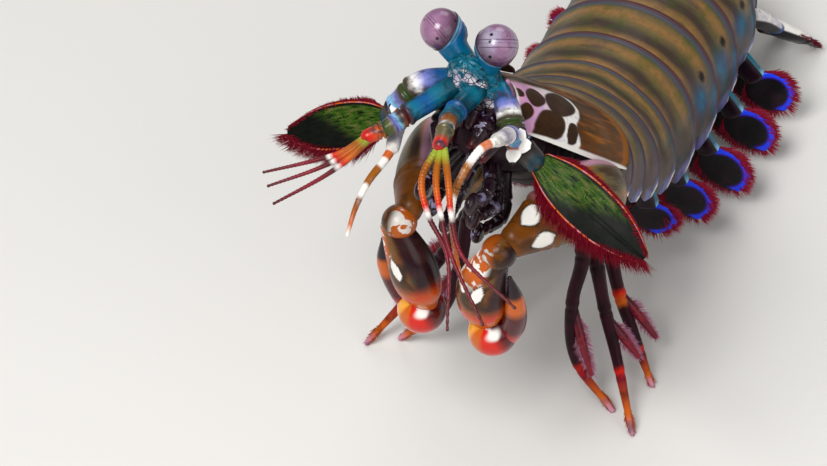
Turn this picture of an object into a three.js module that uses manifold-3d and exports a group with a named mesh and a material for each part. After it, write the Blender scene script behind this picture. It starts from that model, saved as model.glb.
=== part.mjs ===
// Peacock mantis shrimp, life size, with its front raised and its tail fan on the floor.
// Lengths are millimetres and angles degrees. The head points to -y, the animal's left is +x,
// z is up, and the floor is z = 0. Places on the body are given as steps ahead, to the left
// and up from a station on the body axis, which runs from the head (0) to the telson's end.
import * as THREE from 'three';
import { mergeVertices } from 'three/addons/utils/BufferGeometryUtils.js';
import Module from 'manifold-3d';

const wasm = await Module();
wasm.setup();

// Clearance between neighbouring pieces, and the least step kept in a cut surface
const GAP = 0.3;
const FINEST = 0.08;

// The body axis: its height at the back of the second abdominal somite, and its bends.
// Each bend has a station, the rise of the forward direction and its swing to the left.
const AXIS_STATION = 71;
const AXIS_HEIGHT = 31;
const BENDS = [
  { at: 0, rise: 59, swing: -8 },
  { at: 34, rise: 52, swing: -2.8 },
  { at: 52, rise: 24, swing: 0 },
  { at: 66, rise: 12, swing: 0 },
  { at: 80, rise: 10, swing: 0 },
  { at: 100, rise: 12, swing: 0 },
  { at: 110, rise: 26, swing: 0 },
  { at: 117, rise: 45, swing: 0 },
  { at: 128, rise: 58, swing: 0 },
];
const AXIS_STEP = 0.25;
const AXIS_FIRST = -20;
const AXIS_LAST = 150;

// Carapace: half width, height of the back and drop of the margin, at its tip and rear. The
// power tells how fast each comes to its full size. The solid shield is cut off at from.
const CARAPACE = {
  tip: -4,
  from: 0,
  to: 34,
  half: { tip: 7.4, rear: 15.7, power: 2.2 },
  back: { tip: 3.8, rear: 8.7, power: 1.8 },
  margin: { tip: 4.2, rear: 0.6, power: 1 },
  wall: 2.4,
  rings: 7,
};

// Free somites of thorax and abdomen, from front to rear. sides is how far the side
// plates hang below the axis, belly how far the underside lies below it.
const SOMITES = [
  { name: 'thorax_6', from: 34, to: 39.5, half: 15.9, back: 8.8, sides: 5.8, belly: 7.6 },
  { name: 'thorax_7', from: 39.5, to: 45.5, half: 16.4, back: 9.2, sides: 6.2, belly: 7.6 },
  { name: 'thorax_8', from: 45.5, to: 52, half: 17, back: 9.5, sides: 7, belly: 7.6 },
  { name: 'abdomen_1', from: 52, to: 60, half: 17.5, back: 9.9, sides: 8.6, belly: 7 },
  { name: 'abdomen_2', from: 60, to: 71, half: 17.6, back: 10, sides: 11.6, belly: 6.4 },
  { name: 'abdomen_3', from: 71, to: 83, half: 17.6, back: 10, sides: 11.8, belly: 6.4 },
  { name: 'abdomen_4', from: 83, to: 95.5, half: 17.3, back: 9.8, sides: 11.4, belly: 6.4 },
  { name: 'abdomen_5', from: 95.5, to: 108.5, half: 16.5, back: 9.2, sides: 9, belly: 6.2 },
  { name: 'abdomen_6', from: 108.5, to: 117, half: 14.2, back: 8, sides: 5.6, belly: 5.6 },
];

// Rings of a somite, from its narrower front to its full rear with rounded side plates
const SOMITE_RINGS = [
  { share: 0, size: 0.955, drop: 0.74 },
  { share: 0.3, size: 0.98, drop: 0.97 },
  { share: 0.85, size: 1, drop: 1 },
  { share: 1, size: 1, drop: 0.88 },
];

// Section of the trunk: points over the back and how full its arch is, then the thickness of
// the side plates, their lower edge, and the step in to the flat of the belly
const SECTION = { points: 14, fullness: 0.75, side: 1.3, lip: 1, foot: 1.6, flat: 4.5 };

// Underside of head and thorax, as ovals at stations
const TRUNK = [
  { at: -3, half: 4.4, top: -1, bottom: 9 },
  { at: 1, half: 6.8, top: 1, bottom: 9.6 },
  { at: 10, half: 8.6, top: 1, bottom: 9.6 },
  { at: 22, half: 9.4, top: 3, bottom: 9.4 },
  { at: 34 - GAP / 2, half: 10, top: 4, bottom: 8.6 },
];

// Places from here to the maxillipeds are steps ahead, left and up from the head. wide and deep
// are half widths at equal steps of a line.
const HEAD = {
  line: [[-1, 0, 0.4], [3, -1.2, 1], [7, -1.6, 2.4]],
  wide: [5.2, 5, 4.4, 3.2],
  deep: [3.4, 3.6, 3.4, 2],
};

// Rostral plate: outline as steps ahead and left, its two faces and the slope of its sides
const ROSTRUM = {
  outline: [[-0.5, 3.9], [2, 3.6], [3.6, 2.2], [4.6, 0], [3.6, -2.2], [2, -3.6], [-0.5, -3.9]],
  faces: [4.9, 5.6],
  slope: 0.15,
};

// Eyes: gaze is the way the cornea faces. The stalk flares to a cup that holds the cornea.
const EYE_RADIUS = 3.45;
const CUP_RADIUS = EYE_RADIUS + 0.15;
const CUP_EDGE = -0.7;
const STALK = { wide: [2.1, 2.3, 2.8, 3], sunk: 1.6 };
const EYES = {
  left: { root: [5, 0.6, 3.4], centre: [9, 2.9, 6.6], gaze: [0.69, 0.6, 0.39] },
  right: { root: [5, -3.2, 3.4], centre: [9, -7.3, 6.7], gaze: [0.78, -0.63, 0.04] },
};

// Antennae: a stout base from the side of the head to the scale, then peduncle and flagellum
const ANTENNA_WIDE = {
  base: [1.9, 2, 1.6],
  peduncle: [1.2, 1.2, 1],
  flagellum: [0.75, 0.7, 0.6, 0.35],
};
const ANTENNAE = {
  left: {
    base: [[2.2, 3.9, 0.8], [3.8, 6.6, -2.4], [3.2, 9, -6], [1.2, 12.6, -8.3]],
    peduncle: [[3.4, 8.2, -5.4], [8.5, 10, -6.8], [12, 9.9, -8.8]],
    flagellum: [
      [11.6, 9.9, -8.7], [14, 8.6, -11.4], [15, 7.5, -19.2], [14, 8.9, -24.9], [12, 13.4, -33.3],
    ],
  },
  right: {
    base: [[2.6, -4.8, 0.8], [5.2, -8.8, -1.9], [3.6, -11.8, -5.4], [1.4, -13.8, -7.8]],
    peduncle: [[2.4, -11.4, -6], [3.6, -11, -9.8], [5, -9.8, -13.4]],
    flagellum: [
      [4.8, -9.8, -13.2], [6, -9.9, -16], [8, -10.4, -20.5], [9.4, -10.2, -25.5], [10, -9.6, -30],
    ],
  },
};

// Antennules: three segments, then three flagella
const ANTENNULE_WIDE = { peduncle: [1.9, 1.7, 1.5, 1.2], flagellum: [0.6, 0.55, 0.45, 0.3] };
const ANTENNULES = {
  left: {
    peduncle: [[4.6, 0.4, -0.6], [9, 0.1, -5.8], [14, 1.8, -9.1], [18, 3.6, -13.2]],
    flagella: [
      [[17.6, 3.4, -13], [19, 3.2, -19.4], [19, 6.3, -24.5], [18, 11.2, -29.5], [16, 14.8, -40.4]],
      [[17.6, 3.7, -13], [19.4, 5.6, -18.8], [19.6, 8.5, -23.9], [18.6, 12, -29.3], [16, 20.1, -38]],
      [[17.6, 4, -13], [19.4, 7.6, -18.4], [19.4, 10.2, -23.6], [18.4, 13.6, -28.8], [16, 24.1, -34]],
    ],
  },
  right: {
    peduncle: [[4.6, -3.4, -0.6], [8, -8.4, -8.5], [9, -10, -11.2], [10, -12.3, -13.7]],
    flagella: [
      [[9.8, -12.1, -13.6], [11, -14.5, -17.9], [12, -17.4, -21.2], [14, -23.9, -26.8]],
      [[9.8, -11.9, -13.7], [11.6, -13.4, -18.4], [13.6, -15.4, -22.6], [16.5, -20.6, -29.6]],
      [[9.8, -12.3, -13.4], [10, -15.6, -17.4], [10.4, -19.4, -20], [11, -27, -24.4]],
    ],
  },
};

// Antennal scales: flat oval blades held out to the sides
const SCALES = {
  left: { root: [0.6, 13.8, -8.4], tip: [-4, 33.8, -17.4] },
  right: { root: [0.6, -14.6, -8.8], tip: [-4, -32.7, -14.4] },
};
const SCALE_WIDE = [2.2, 3.7, 4.4, 4.5, 4.1, 3, 1.2];
const SCALE_DEEP = [0.8, 0.45, 0.45, 0.3];
const SCALE_FRINGE = { since: 0.1, upper: 1.3, lower: 3.4, half: 0.95, count: 16 };

// Raptorial claws: merus beside the shield, then palm folded back to the club. spread moves
// palm and club out to the side.
const CLAW = {
  hip: [[-24, 6.6, -8], [-29, 11, -10.4], [-29.4, 14, -9]],
  merus: [[-33, 15.6, -6.4], [-25.5, 15.4, -6.8], [-16.5, 13.6, -11], [-9.8, 9.8, -20]],
  knuckle: [-9.4, 8.1, -22.6],
  palm: [[-10.2, 7.2, -23.6], [-15.3, 4.8, -27.4], [-19.7, 4.1, -29.9], [-24.3, 3.8, -31.9]],
  heel: [-27.1, 4.8, -33.1],
  finger: [[-29.7, 5.6, -33.5], [-24.6, 8.7, -31.1], [-18.3, 10.2, -28.3], [-13.3, 9.9, -25.6]],
};
const CLAW_SPREAD = { left: 0, right: 4 };
const CLAW_WIDE = {
  hip: [2.4, 2.6, 2.4],
  merus: [1.2, 3.3, 4, 4, 3.4, 2.3],
  palm: [2.6, 3.9, 4.3, 4.2, 3.2],
  finger: [2.3, 2.2, 1.6, 0.4],
};
const CLAW_DEEP = {
  merus: [1.6, 5.6, 6.8, 6.8, 5.2, 2.9],
  palm: [2.4, 3.5, 3.9, 3.6, 2.6],
};
const HEEL_RADIUS = 4.2;
const KNUCKLE_RADII = [3, 3, 3];

// Small maxillipeds round the mouth, each ending in a flat rounded hand
const MAXILLIPED_WIDE = [1, 1, 0.9];
const MAXILLIPEDS = {
  1: { line: [[-0.5, 2.2, -8.6], [2.5, 3, -10.6], [3.4, 3, -14.2]], hand: 1.2 },
  3: { line: [[-4, 2.6, -9], [-3, 5.2, -14.6], [0, 4.6, -17.8]], hand: 1.9 },
  4: { line: [[-8, 2.8, -9.2], [-8.4, 5, -15.4], [-4.6, 3.8, -19.2]], hand: 1.9 },
  5: { line: [[-13, 3, -9.2], [-14.4, 4.4, -15.8], [-10.4, 3, -20.4]], hand: 1.8 },
};

// Walking legs: each runs from its hip, as steps left and up from the station root, through
// points in x, y and z to a tip on the floor, with a side branch from its knee
const HIP = [7.4, -6.4];
const LEG_WIDE = [1.7, 1.3, 1.15, 1.1, 1, 0.9];
const BRANCH_WIDE = [0.8, 0.75, 0.5];
const LEGS = {
  1: {
    root: 37,
    line: [[10.8, -39.7, 30], [10.7, -43.5, 22], [12.9, -46.8, 11], [20.7, -47.3, -0.4]],
    branch: [[10.9, -43.6, 20.5], [13.6, -46, 15.5], [16.4, -47.6, 9]],
  },
  2: {
    root: 42.5,
    line: [[12.7, -37.5, 26], [15.3, -39.9, 19], [19.7, -43.6, 10], [25.8, -50.7, -0.4]],
    branch: [[16.4, -40.6, 16.6], [19.4, -40.8, 13.4], [22.6, -40.8, 9.4]],
  },
  3: {
    root: 49,
    line: [[13.3, -31.6, 22], [15.7, -33.4, 16], [20.6, -36, 7], [25.1, -39.1, -0.4]],
    branch: [[15.6, -33.4, 16], [19.4, -33.6, 12], [23.2, -33.4, 7]],
  },
};

// Swimmerets: two leaf-shaped blades on a short stem, hung across the body. splay is the turn
// from straight down, spread the turn of each blade from the stem's line.
const SWIMMERETS = [
  { number: 1, at: 57, splay: 15, reach: 19 },
  { number: 2, at: 67.5, splay: 24, reach: 23 },
  { number: 3, at: 79, splay: 33, reach: 25 },
  { number: 4, at: 91.5, splay: 38, reach: 24 },
  { number: 5, at: 104, splay: 43, reach: 22 },
];

// Shares of the splay and the reach on each side: the right ones are drawn in under the body
const SWIMMERET_DRAW = {
  left: { splay: 1, reach: 1 },
  right: { splay: 0.78, reach: 0.9 },
};
const SWIMMERET_STEM = {
  left: 11.5,
  up: -6.2,
  share: 0.44,
  sunk: 0.6,
  wide: [2.6, 2.6],
  deep: [1.4, 1.1],
};
const BLADES = {
  outer: { spread: 3, share: 0.56, count: 5 },
  inner: { spread: -30, share: 0.48, count: 2 },
};
const BLADE_WIDE = [1.6, 3.3, 4.1, 3.9, 2.2];
const BLADE_DEEP = [0.9, 0.5, 0.5, 0.3];
const BLADE_FRINGE = { since: 0.35, upper: 2.6, lower: 2.6, half: 0.95 };

// Telson: a broad plate, thick along its middle, with keels on its back and teeth behind.
// Its outline is given as shares of the half width and of the height of the back.
const TELSON = { from: 117, to: 136.5, half: 12, back: 4.6, belly: 3, edge: 1, tooth: 3.6 };
const TELSON_RINGS = [0, 0.2, 0.5, 0.8, 1];
const TELSON_TAPER = [0.92, 1, 1, 0.9, 0.6];
const TELSON_TOP = [
  [1, -0.1], [0.72, 0.42], [0.4, 0.72], [0.1, 1], [-0.1, 1], [-0.4, 0.72], [-0.72, 0.42], [-1, -0.1],
];
const TELSON_FLAT = 0.7;
const TELSON_TEETH = {
  places: [-0.82, -0.5, -0.17, 0.17, 0.5, 0.82],
  inset: 0.78,
  splay: 1.06,
  round: 4,
  half: 1.2,
};
const TELSON_KEELS = { places: [-0.55, 0, 0.55], wide: [0.8, 0.8, 0.3], deep: [0.9, 0.9, 0.3] };

// Uropods, in x, y and z: a stem at the side of the last somite, an outer and an inner blade
const UROPOD = {
  stem: [[11.5, 38.5, 18], [14.2, 43.2, 14], [16.6, 46.6, 9.6]],
  fork: [[14.8, 45.4, 9.6], [18.4, 51.6, 3.2]],
  outer: [[17, 47, 9.2], [21, 50.6, 4.8], [24.2, 53.6, 0.9]],
  inner: [[14.4, 45.6, 11], [15.6, 51.4, 5.4], [16.6, 55.2, 1]],
};
const UROPOD_WIDE = {
  stem: [2.4, 2.6, 2.2],
  outer: [1.6, 2.6, 2.8, 2.2, 1],
  inner: [1, 1.8, 2, 1.6, 0.8],
};
const UROPOD_DEEP = { stem: [2, 1.9, 1.4], blade: [0.8, 0.7, 0.5] };
const FAN_FRINGE = { since: 0.35, upper: 1.6, lower: 1.6, half: 0.9 };

// Locks of the fringes: half thickness, depth of the root and lean away from the blade's line
const LOCK = { thick: 0.28, sunk: 1, lean: 62 };
const FRINGE_SEED = 71;

// Vectors and places

const sideOf = { left: 1, right: -1 };

function vector([x, y, z]) {
  return new THREE.Vector3(x, y, z);
}

function ramp(value, from, to) {
  return THREE.MathUtils.clamp((value - from) / (to - from), 0, 1);
}

// Value of a row of numbers read at a share from 0 to 1 of its length
function along(row, share) {
  const place = share * (row.length - 1);
  const index = Math.min(Math.floor(place), row.length - 2);
  return THREE.MathUtils.lerp(row[index], row[index + 1], place - index);
}

function bendAt(station) {
  const last = BENDS.length - 1;
  let index = BENDS.findIndex((bend) => bend.at > station) - 1;
  if (station < BENDS[0].at) index = 0;
  if (station >= BENDS[last].at) index = last - 1;
  const near = BENDS[index];
  const far = BENDS[index + 1];
  const share = ramp(station, near.at, far.at);
  return {
    rise: THREE.MathUtils.degToRad(THREE.MathUtils.lerp(near.rise, far.rise, share)),
    swing: THREE.MathUtils.degToRad(THREE.MathUtils.lerp(near.swing, far.swing, share)),
  };
}

function seeded(seed) {
  let state = seed;
  return () => {
    state = (state * 16807) % 2147483647;
    return state / 2147483647;
  };
}

// Directions ahead, left and up of the body at a station
function directionsAt(station) {
  const { rise, swing } = bendAt(station);
  const level = new THREE.Vector3(0, -Math.cos(rise), Math.sin(rise));
  const across = new THREE.Vector3(1, 0, 0);
  const up = new THREE.Vector3(0, Math.sin(rise), Math.cos(rise));
  const ahead = level.clone().multiplyScalar(Math.cos(swing)).addScaledVector(across, Math.sin(swing));
  const left = across.clone().multiplyScalar(Math.cos(swing)).addScaledVector(level, -Math.sin(swing));
  return { ahead, left, up };
}

function layAxis() {
  const count = (AXIS_LAST - AXIS_FIRST) / AXIS_STEP;
  const start = (AXIS_STATION - AXIS_FIRST) / AXIS_STEP;
  const points = [];
  points[start] = new THREE.Vector3(0, 0, AXIS_HEIGHT);
  for (let k = start; k < count; k += 1) {
    const { ahead } = directionsAt(AXIS_FIRST + (k + 0.5) * AXIS_STEP);
    points[k + 1] = points[k].clone().addScaledVector(ahead, -AXIS_STEP);
  }
  for (let k = start; k > 0; k -= 1) {
    const { ahead } = directionsAt(AXIS_FIRST + (k - 0.5) * AXIS_STEP);
    points[k - 1] = points[k].clone().addScaledVector(ahead, AXIS_STEP);
  }
  return points;
}

const axisPoints = layAxis();

function axisAt(station) {
  const place = (station - AXIS_FIRST) / AXIS_STEP;
  const index = Math.floor(place);
  return axisPoints[index].clone().lerp(axisPoints[index + 1], place - index);
}

// A point given by steps ahead, left and up from a station
function placeAt(station, [ahead, left, up]) {
  const way = directionsAt(station);
  return axisAt(station)
    .addScaledVector(way.ahead, ahead)
    .addScaledVector(way.left, left)
    .addScaledVector(way.up, up);
}

function headPlace(steps) {
  return placeAt(0, steps);
}

function mirrored([x, y, z], side) {
  return [x * side, y, z];
}

// Ahead, left, up steps with the left step turned to the given side
function sided([ahead, left, up], side) {
  return [ahead, left * side, up];
}

// Closed solids

function toSolid(geometry) {
  const bare = geometry.clone();
  bare.deleteAttribute('normal');
  bare.deleteAttribute('uv');
  const merged = mergeVertices(bare, 1e-5);
  return new wasm.Manifold(new wasm.Mesh({
    numProp: 3,
    vertProperties: new Float32Array(merged.attributes.position.array),
    triVerts: new Uint32Array(merged.index.array),
  }));
}

function centreOf(points) {
  const sum = points.reduce((total, point) => total.add(point), new THREE.Vector3());
  return sum.divideScalar(points.length);
}

// Area vector of a ring of points, which shows which way it turns
function turnOf(ring) {
  const centre = centreOf(ring);
  const area = new THREE.Vector3();
  ring.forEach((point, k) => {
    const next = ring[(k + 1) % ring.length];
    const here = point.clone().sub(centre);
    area.add(here.cross(next.clone().sub(centre)));
  });
  return area;
}

// Triangles over one end of a loft, as places in the ring, turning with the ring
function capOf(ring) {
  const normal = turnOf(ring).normalize();
  const across = ring[1].clone().sub(ring[0]).projectOnPlane(normal).normalize();
  const upward = normal.clone().cross(across);
  const flat = ring.map((point) => new THREE.Vector2(point.dot(across), point.dot(upward)));
  return THREE.ShapeUtils.triangulateShape(flat, []).map(([a, b, c]) => {
    const ab = flat[b].clone().sub(flat[a]);
    const ac = flat[c].clone().sub(flat[a]);
    return ab.cross(ac) > 0 ? [a, b, c] : [a, c, b];
  });
}

// Solid whose skin runs through rings of equally many points
function loft(rings) {
  const heading = centreOf(rings[1]).sub(centreOf(rings[0]));
  const ordered = turnOf(rings[0]).dot(heading) > 0 ? rings : rings.map((ring) => ring.toReversed());
  const count = ordered[0].length;
  const last = (ordered.length - 1) * count;
  const faces = [];
  for (let start = 0; start < last; start += count) {
    for (let k = 0; k < count; k += 1) {
      const a = start + k;
      const b = start + ((k + 1) % count);
      faces.push(a, b, b + count, a, b + count, a + count);
    }
  }
  capOf(ordered[0]).forEach(([a, b, c]) => faces.push(a, c, b));
  capOf(ordered.at(-1)).forEach(([a, b, c]) => faces.push(last + a, last + b, last + c));
  const geometry = new THREE.BufferGeometry().setFromPoints(ordered.flat());
  geometry.setIndex(faces);
  return toSolid(geometry);
}

function lineThrough(points) {
  return points.length > 2
    ? new THREE.CatmullRomCurve3(points, false, 'centripetal')
    : new THREE.LineCurve3(points[0], points[1]);
}

const UPRIGHT = new THREE.Vector3(0, 0, 1);

// Limb with oval sections along a smooth line. wide is measured across the limb at right
// angles to facing, deep along facing, both as half widths at equal steps of the line.
function limb({ through, wide, deep = wide, facing = UPRIGHT, sides = 7, steps = 6 }) {
  const line = lineThrough(through);
  const rings = [];
  for (let step = 0; step <= steps; step += 1) {
    const share = step / steps;
    const centre = line.getPoint(share);
    const tangent = line.getTangent(share);
    const across = tangent.clone().cross(facing).normalize();
    const outward = across.clone().cross(tangent).normalize();
    const ring = [];
    for (let k = 0; k < sides; k += 1) {
      const angle = (k / sides) * 2 * Math.PI;
      ring.push(centre.clone()
        .addScaledVector(across, along(wide, share) * Math.cos(angle))
        .addScaledVector(outward, along(deep, share) * Math.sin(angle)));
    }
    rings.push(ring);
  }
  return loft(rings);
}

// Turn that brings the pole of a ball or cone to a direction
function turnTo(direction) {
  return new THREE.Quaternion().setFromUnitVectors(new THREE.Vector3(0, 1, 0), direction);
}

function ball(centre, radii, facing, around, bands) {
  const geometry = new THREE.SphereGeometry(1, around, bands);
  geometry.scale(radii[0], radii[1], radii[2]);
  geometry.applyQuaternion(turnTo(facing));
  geometry.translate(centre.x, centre.y, centre.z);
  return toSolid(geometry);
}

function spike(root, tip, radius, sides = 4) {
  const reach = tip.clone().sub(root);
  const geometry = new THREE.ConeGeometry(radius, reach.length(), sides);
  geometry.translate(0, reach.length() / 2, 0);
  geometry.applyQuaternion(turnTo(reach.normalize()));
  geometry.translate(root.x, root.y, root.z);
  return toSolid(geometry);
}

// Fringe of setae round the edge of a flat blade, as flat tapered locks. They start at a share
// of the blade's length, run round its tip and lean towards it. upper and lower are the
// lengths of the locks on the edge that looks up and on the other one, half their half width.
function fringe({ through, wide, facing, since, upper, lower, half, count }) {
  const line = lineThrough(through);
  const draw = seeded(FRINGE_SEED);
  const locks = [];
  for (let k = 0; k < count; k += 1) {
    const turn = (2 * (k + 0.5)) / count - 1;
    const share = 1 - Math.abs(turn) * (1 - since);
    const tangent = line.getTangent(share);
    const across = tangent.clone().cross(facing).normalize().multiplyScalar(Math.sign(turn));
    const lean = THREE.MathUtils.degToRad(LOCK.lean * Math.abs(turn) ** 0.6);
    const outward = tangent.clone().multiplyScalar(Math.cos(lean))
      .addScaledVector(across, Math.sin(lean));
    const edge = line.getPoint(share)
      .addScaledVector(across, along(wide, share) * Math.abs(turn) ** 0.4);
    const length = (across.z > 0 ? upper : lower) * (0.85 + 0.3 * draw());
    locks.push(limb({
      through: [
        edge.clone().addScaledVector(outward, -LOCK.sunk),
        edge.clone().addScaledVector(outward, length),
      ],
      wide: [half, half * 0.25],
      deep: [LOCK.thick, LOCK.thick * 0.5],
      facing,
      sides: 4,
      steps: 1,
    }));
  }
  return locks;
}

function joined(solids) {
  return wasm.Manifold.union(solids);
}

function largestOf(solid) {
  const bodies = solid.decompose();
  return bodies.reduce((best, body) => (body.volume() > best.volume() ? body : best), bodies[0]);
}

// The same solid with every face moved outward, for cutting its neighbours clear
function swollen(solid, by) {
  const mesh = solid.getMesh();
  const geometry = new THREE.BufferGeometry();
  geometry.setAttribute('position', new THREE.BufferAttribute(new Float32Array(mesh.vertProperties), 3));
  geometry.setIndex(new THREE.BufferAttribute(new Uint32Array(mesh.triVerts), 1));
  geometry.computeVertexNormals();
  const { position, normal } = geometry.attributes;
  const least = new Float32Array(position.count).fill(1);
  const [a, b, c, face, own] = Array.from({ length: 5 }, () => new THREE.Vector3());
  for (let k = 0; k < mesh.triVerts.length; k += 3) {
    const corners = [mesh.triVerts[k], mesh.triVerts[k + 1], mesh.triVerts[k + 2]];
    a.fromBufferAttribute(position, corners[0]);
    b.fromBufferAttribute(position, corners[1]);
    c.fromBufferAttribute(position, corners[2]);
    face.crossVectors(b.sub(a), c.sub(a)).normalize();
    corners.forEach((corner) => {
      own.fromBufferAttribute(normal, corner);
      least[corner] = Math.min(least[corner], own.dot(face));
    });
  }
  for (let k = 0; k < position.count; k += 1) {
    const reach = by / Math.max(least[k], 0.5);
    position.setXYZ(
      k,
      position.getX(k) + normal.getX(k) * reach,
      position.getY(k) + normal.getY(k) * reach,
      position.getZ(k) + normal.getZ(k) * reach,
    );
  }
  return toSolid(geometry);
}

// Pieces of the animal

const animal = new THREE.Group();
animal.name = 'mantis_shrimp';
const settled = [];

function boxesMeet(one, other) {
  const [a, b] = [one.boundingBox(), other.boundingBox()];
  return [0, 1, 2].every((k) => a.min[k] <= b.max[k] + 1 && b.min[k] <= a.max[k] + 1);
}

// Adds one named piece, cut clear of the pieces before it and level with the floor
function settle(name, solid, paint) {
  let shape = solid;
  settled.filter((piece) => boxesMeet(piece.shape, shape)).forEach((piece) => {
    if (piece.shape.minGap(shape, GAP) < GAP * 0.8) shape = shape.subtract(swollen(piece.shape, GAP));
  });
  shape = largestOf(shape.trimByPlane([0, 0, 1], 0).simplify(FINEST));
  settled.push({ name, shape });
  const box = shape.boundingBox();
  const centre = vector(box.min).add(vector(box.max)).multiplyScalar(0.5);
  const data = shape.getMesh();
  const geometry = new THREE.BufferGeometry();
  geometry.setAttribute('position', new THREE.BufferAttribute(new Float32Array(data.vertProperties), 3));
  geometry.setIndex(new THREE.BufferAttribute(new Uint32Array(data.triVerts), 1));
  geometry.translate(-centre.x, -centre.y, -centre.z);
  geometry.computeVertexNormals();
  const material = new THREE.MeshStandardMaterial({ metalness: 0, ...paint, name: `${name}_paint` });
  const mesh = new THREE.Mesh(geometry, material);
  mesh.name = name;
  mesh.position.copy(centre);
  animal.add(mesh);
}

// Colours of the shell, seen dry
const PAINT = {
  carapace: { color: 0x6d4a1e, roughness: 0.35 },
  trunk: { color: 0x4a2a2e, roughness: 0.5 },
  thorax: { color: 0x6b5a3c, roughness: 0.35 },
  abdomen: { color: 0x5f5a3a, roughness: 0.35 },
  head: { color: 0x1f7f8c, roughness: 0.4 },
  stalk: { color: 0x2f86b0, roughness: 0.4 },
  cornea: { color: 0xb98aa0, roughness: 0.2 },
  antennule: { color: 0x9a5a20, roughness: 0.4 },
  antenna: { color: 0x8a7fa8, roughness: 0.4 },
  scale: { color: 0x2c4a16, roughness: 0.35 },
  merus: { color: 0x8a6a20, roughness: 0.35 },
  palm: { color: 0x8a4a1a, roughness: 0.35 },
  club: { color: 0xe2451a, roughness: 0.25 },
  mouthpart: { color: 0x4c1f33, roughness: 0.5 },
  leg: { color: 0x57132b, roughness: 0.45 },
  swimmeret: { color: 0x2a0f24, roughness: 0.5 },
  tail: { color: 0x3a5a4a, roughness: 0.35 },
  fan: { color: 0x7a2a2a, roughness: 0.4 },
};

// Section of the trunk: an arched back whose side plates hang past a flatter belly

function bodyRing(station, { half, back, sides, belly }) {
  const outline = [];
  for (let k = 0; k <= SECTION.points; k += 1) {
    const angle = (Math.PI * k) / SECTION.points;
    outline.push([
      half * Math.cos(angle),
      (back + sides) * Math.max(Math.sin(angle), 0) ** SECTION.fullness - sides,
    ]);
  }
  const inner = half - SECTION.side;
  const foot = Math.min(belly, sides) - SECTION.lip;
  outline.push([-inner, -sides]);
  outline.push([-inner + SECTION.foot, -foot]);
  outline.push([-inner + SECTION.flat, -belly]);
  outline.push([inner - SECTION.flat, -belly]);
  outline.push([inner - SECTION.foot, -foot]);
  outline.push([inner, -sides]);
  return outline.map(([left, up]) => placeAt(station, [0, left, up]));
}

function somite({ from, to, half, back, sides, belly }) {
  const first = from + GAP / 2;
  const last = to - GAP / 2;
  return loft(SOMITE_RINGS.map(({ share, size, drop }) => bodyRing(
    THREE.MathUtils.lerp(first, last, share),
    { half: half * size, back: back * size, sides: sides * drop, belly },
  )));
}

SOMITES.forEach((row) => {
  settle(row.name, somite(row), row.name.startsWith('thorax') ? PAINT.thorax : PAINT.abdomen);
});

// Carapace, a shield that widens to the rear

function carapace() {
  const rings = [];
  for (let k = 0; k < CARAPACE.rings; k += 1) {
    const share = k / (CARAPACE.rings - 1);
    const station = THREE.MathUtils.lerp(CARAPACE.from, CARAPACE.to - GAP / 2, share);
    const rest = 1 - ramp(station, CARAPACE.tip, CARAPACE.to);
    const size = ({ tip, rear, power }) => THREE.MathUtils.lerp(rear, tip, rest ** power);
    const sides = size(CARAPACE.margin);
    rings.push(bodyRing(station, {
      half: size(CARAPACE.half),
      back: size(CARAPACE.back),
      sides,
      belly: sides - CARAPACE.wall,
    }));
  }
  return loft(rings);
}

settle('carapace', carapace(), PAINT.carapace);

// Underside of head and thorax below the shield

function trunk() {
  return loft(TRUNK.map(({ at, half, top, bottom }) => {
    const middle = (top - bottom) / 2;
    const reach = (top + bottom) / 2;
    const ring = [];
    for (let k = 0; k < 16; k += 1) {
      const angle = (k / 16) * 2 * Math.PI;
      ring.push(placeAt(at, [0, half * Math.cos(angle), middle + reach * Math.sin(angle)]));
    }
    return ring;
  }));
}

settle('trunk', trunk(), PAINT.trunk);

// Front of the head, which carries the eyes and both pairs of antennae

const HEAD_WAYS = directionsAt(0);

function head() {
  return limb({
    through: HEAD.line.map(headPlace),
    wide: HEAD.wide,
    deep: HEAD.deep,
    facing: HEAD_WAYS.up,
    sides: 12,
    steps: 5,
  });
}

settle('head', head(), PAINT.head);

// Eyes: each cornea is the far part of a ball

Object.entries(EYES).forEach(([side, { root, centre, gaze }]) => {
  const from = headPlace(root);
  const to = headPlace(centre);
  const facing = headPlace(gaze).sub(headPlace([0, 0, 0])).normalize();
  const edge = to.dot(facing) + CUP_EDGE;
  const cornea = ball(to, [EYE_RADIUS, EYE_RADIUS, EYE_RADIUS], facing, 14, 10);
  settle(`eye_${side}`, cornea.trimByPlane(facing.toArray(), edge + GAP), PAINT.cornea);
  const cup = ball(to, [CUP_RADIUS, CUP_RADIUS, CUP_RADIUS], facing, 12, 7);
  const neck = limb({
    through: [from, from.clone().lerp(to, 0.5), to.clone().addScaledVector(facing, -STALK.sunk)],
    wide: STALK.wide,
    facing: HEAD_WAYS.up,
    steps: 3,
  });
  const back = facing.clone().negate();
  settle(`eye_stalk_${side}`, joined([cup, neck]).trimByPlane(back.toArray(), -edge), PAINT.stalk);
});

// Rostral plate over the eye bases

function rostrum() {
  return loft(ROSTRUM.faces.map((up) => ROSTRUM.outline.map(
    ([ahead, left]) => headPlace([ahead, left, up - Math.abs(left) * ROSTRUM.slope]),
  )));
}

settle('rostrum', rostrum(), PAINT.head);

// Feelers of the head, whose parts are limbs along lines given from the head

function headLimb(line, wide, shape) {
  return limb({ through: line.map(headPlace), wide, facing: HEAD_WAYS.up, ...shape });
}

Object.entries(ANTENNAE).forEach(([side, { base, peduncle, flagellum }]) => {
  settle(`antenna_${side}`, joined([
    headLimb(base, ANTENNA_WIDE.base, { steps: 6 }),
    headLimb(peduncle, ANTENNA_WIDE.peduncle, { steps: 4 }),
    headLimb(flagellum, ANTENNA_WIDE.flagellum, { sides: 5, steps: 7 }),
  ]), PAINT.antenna);
});

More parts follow.
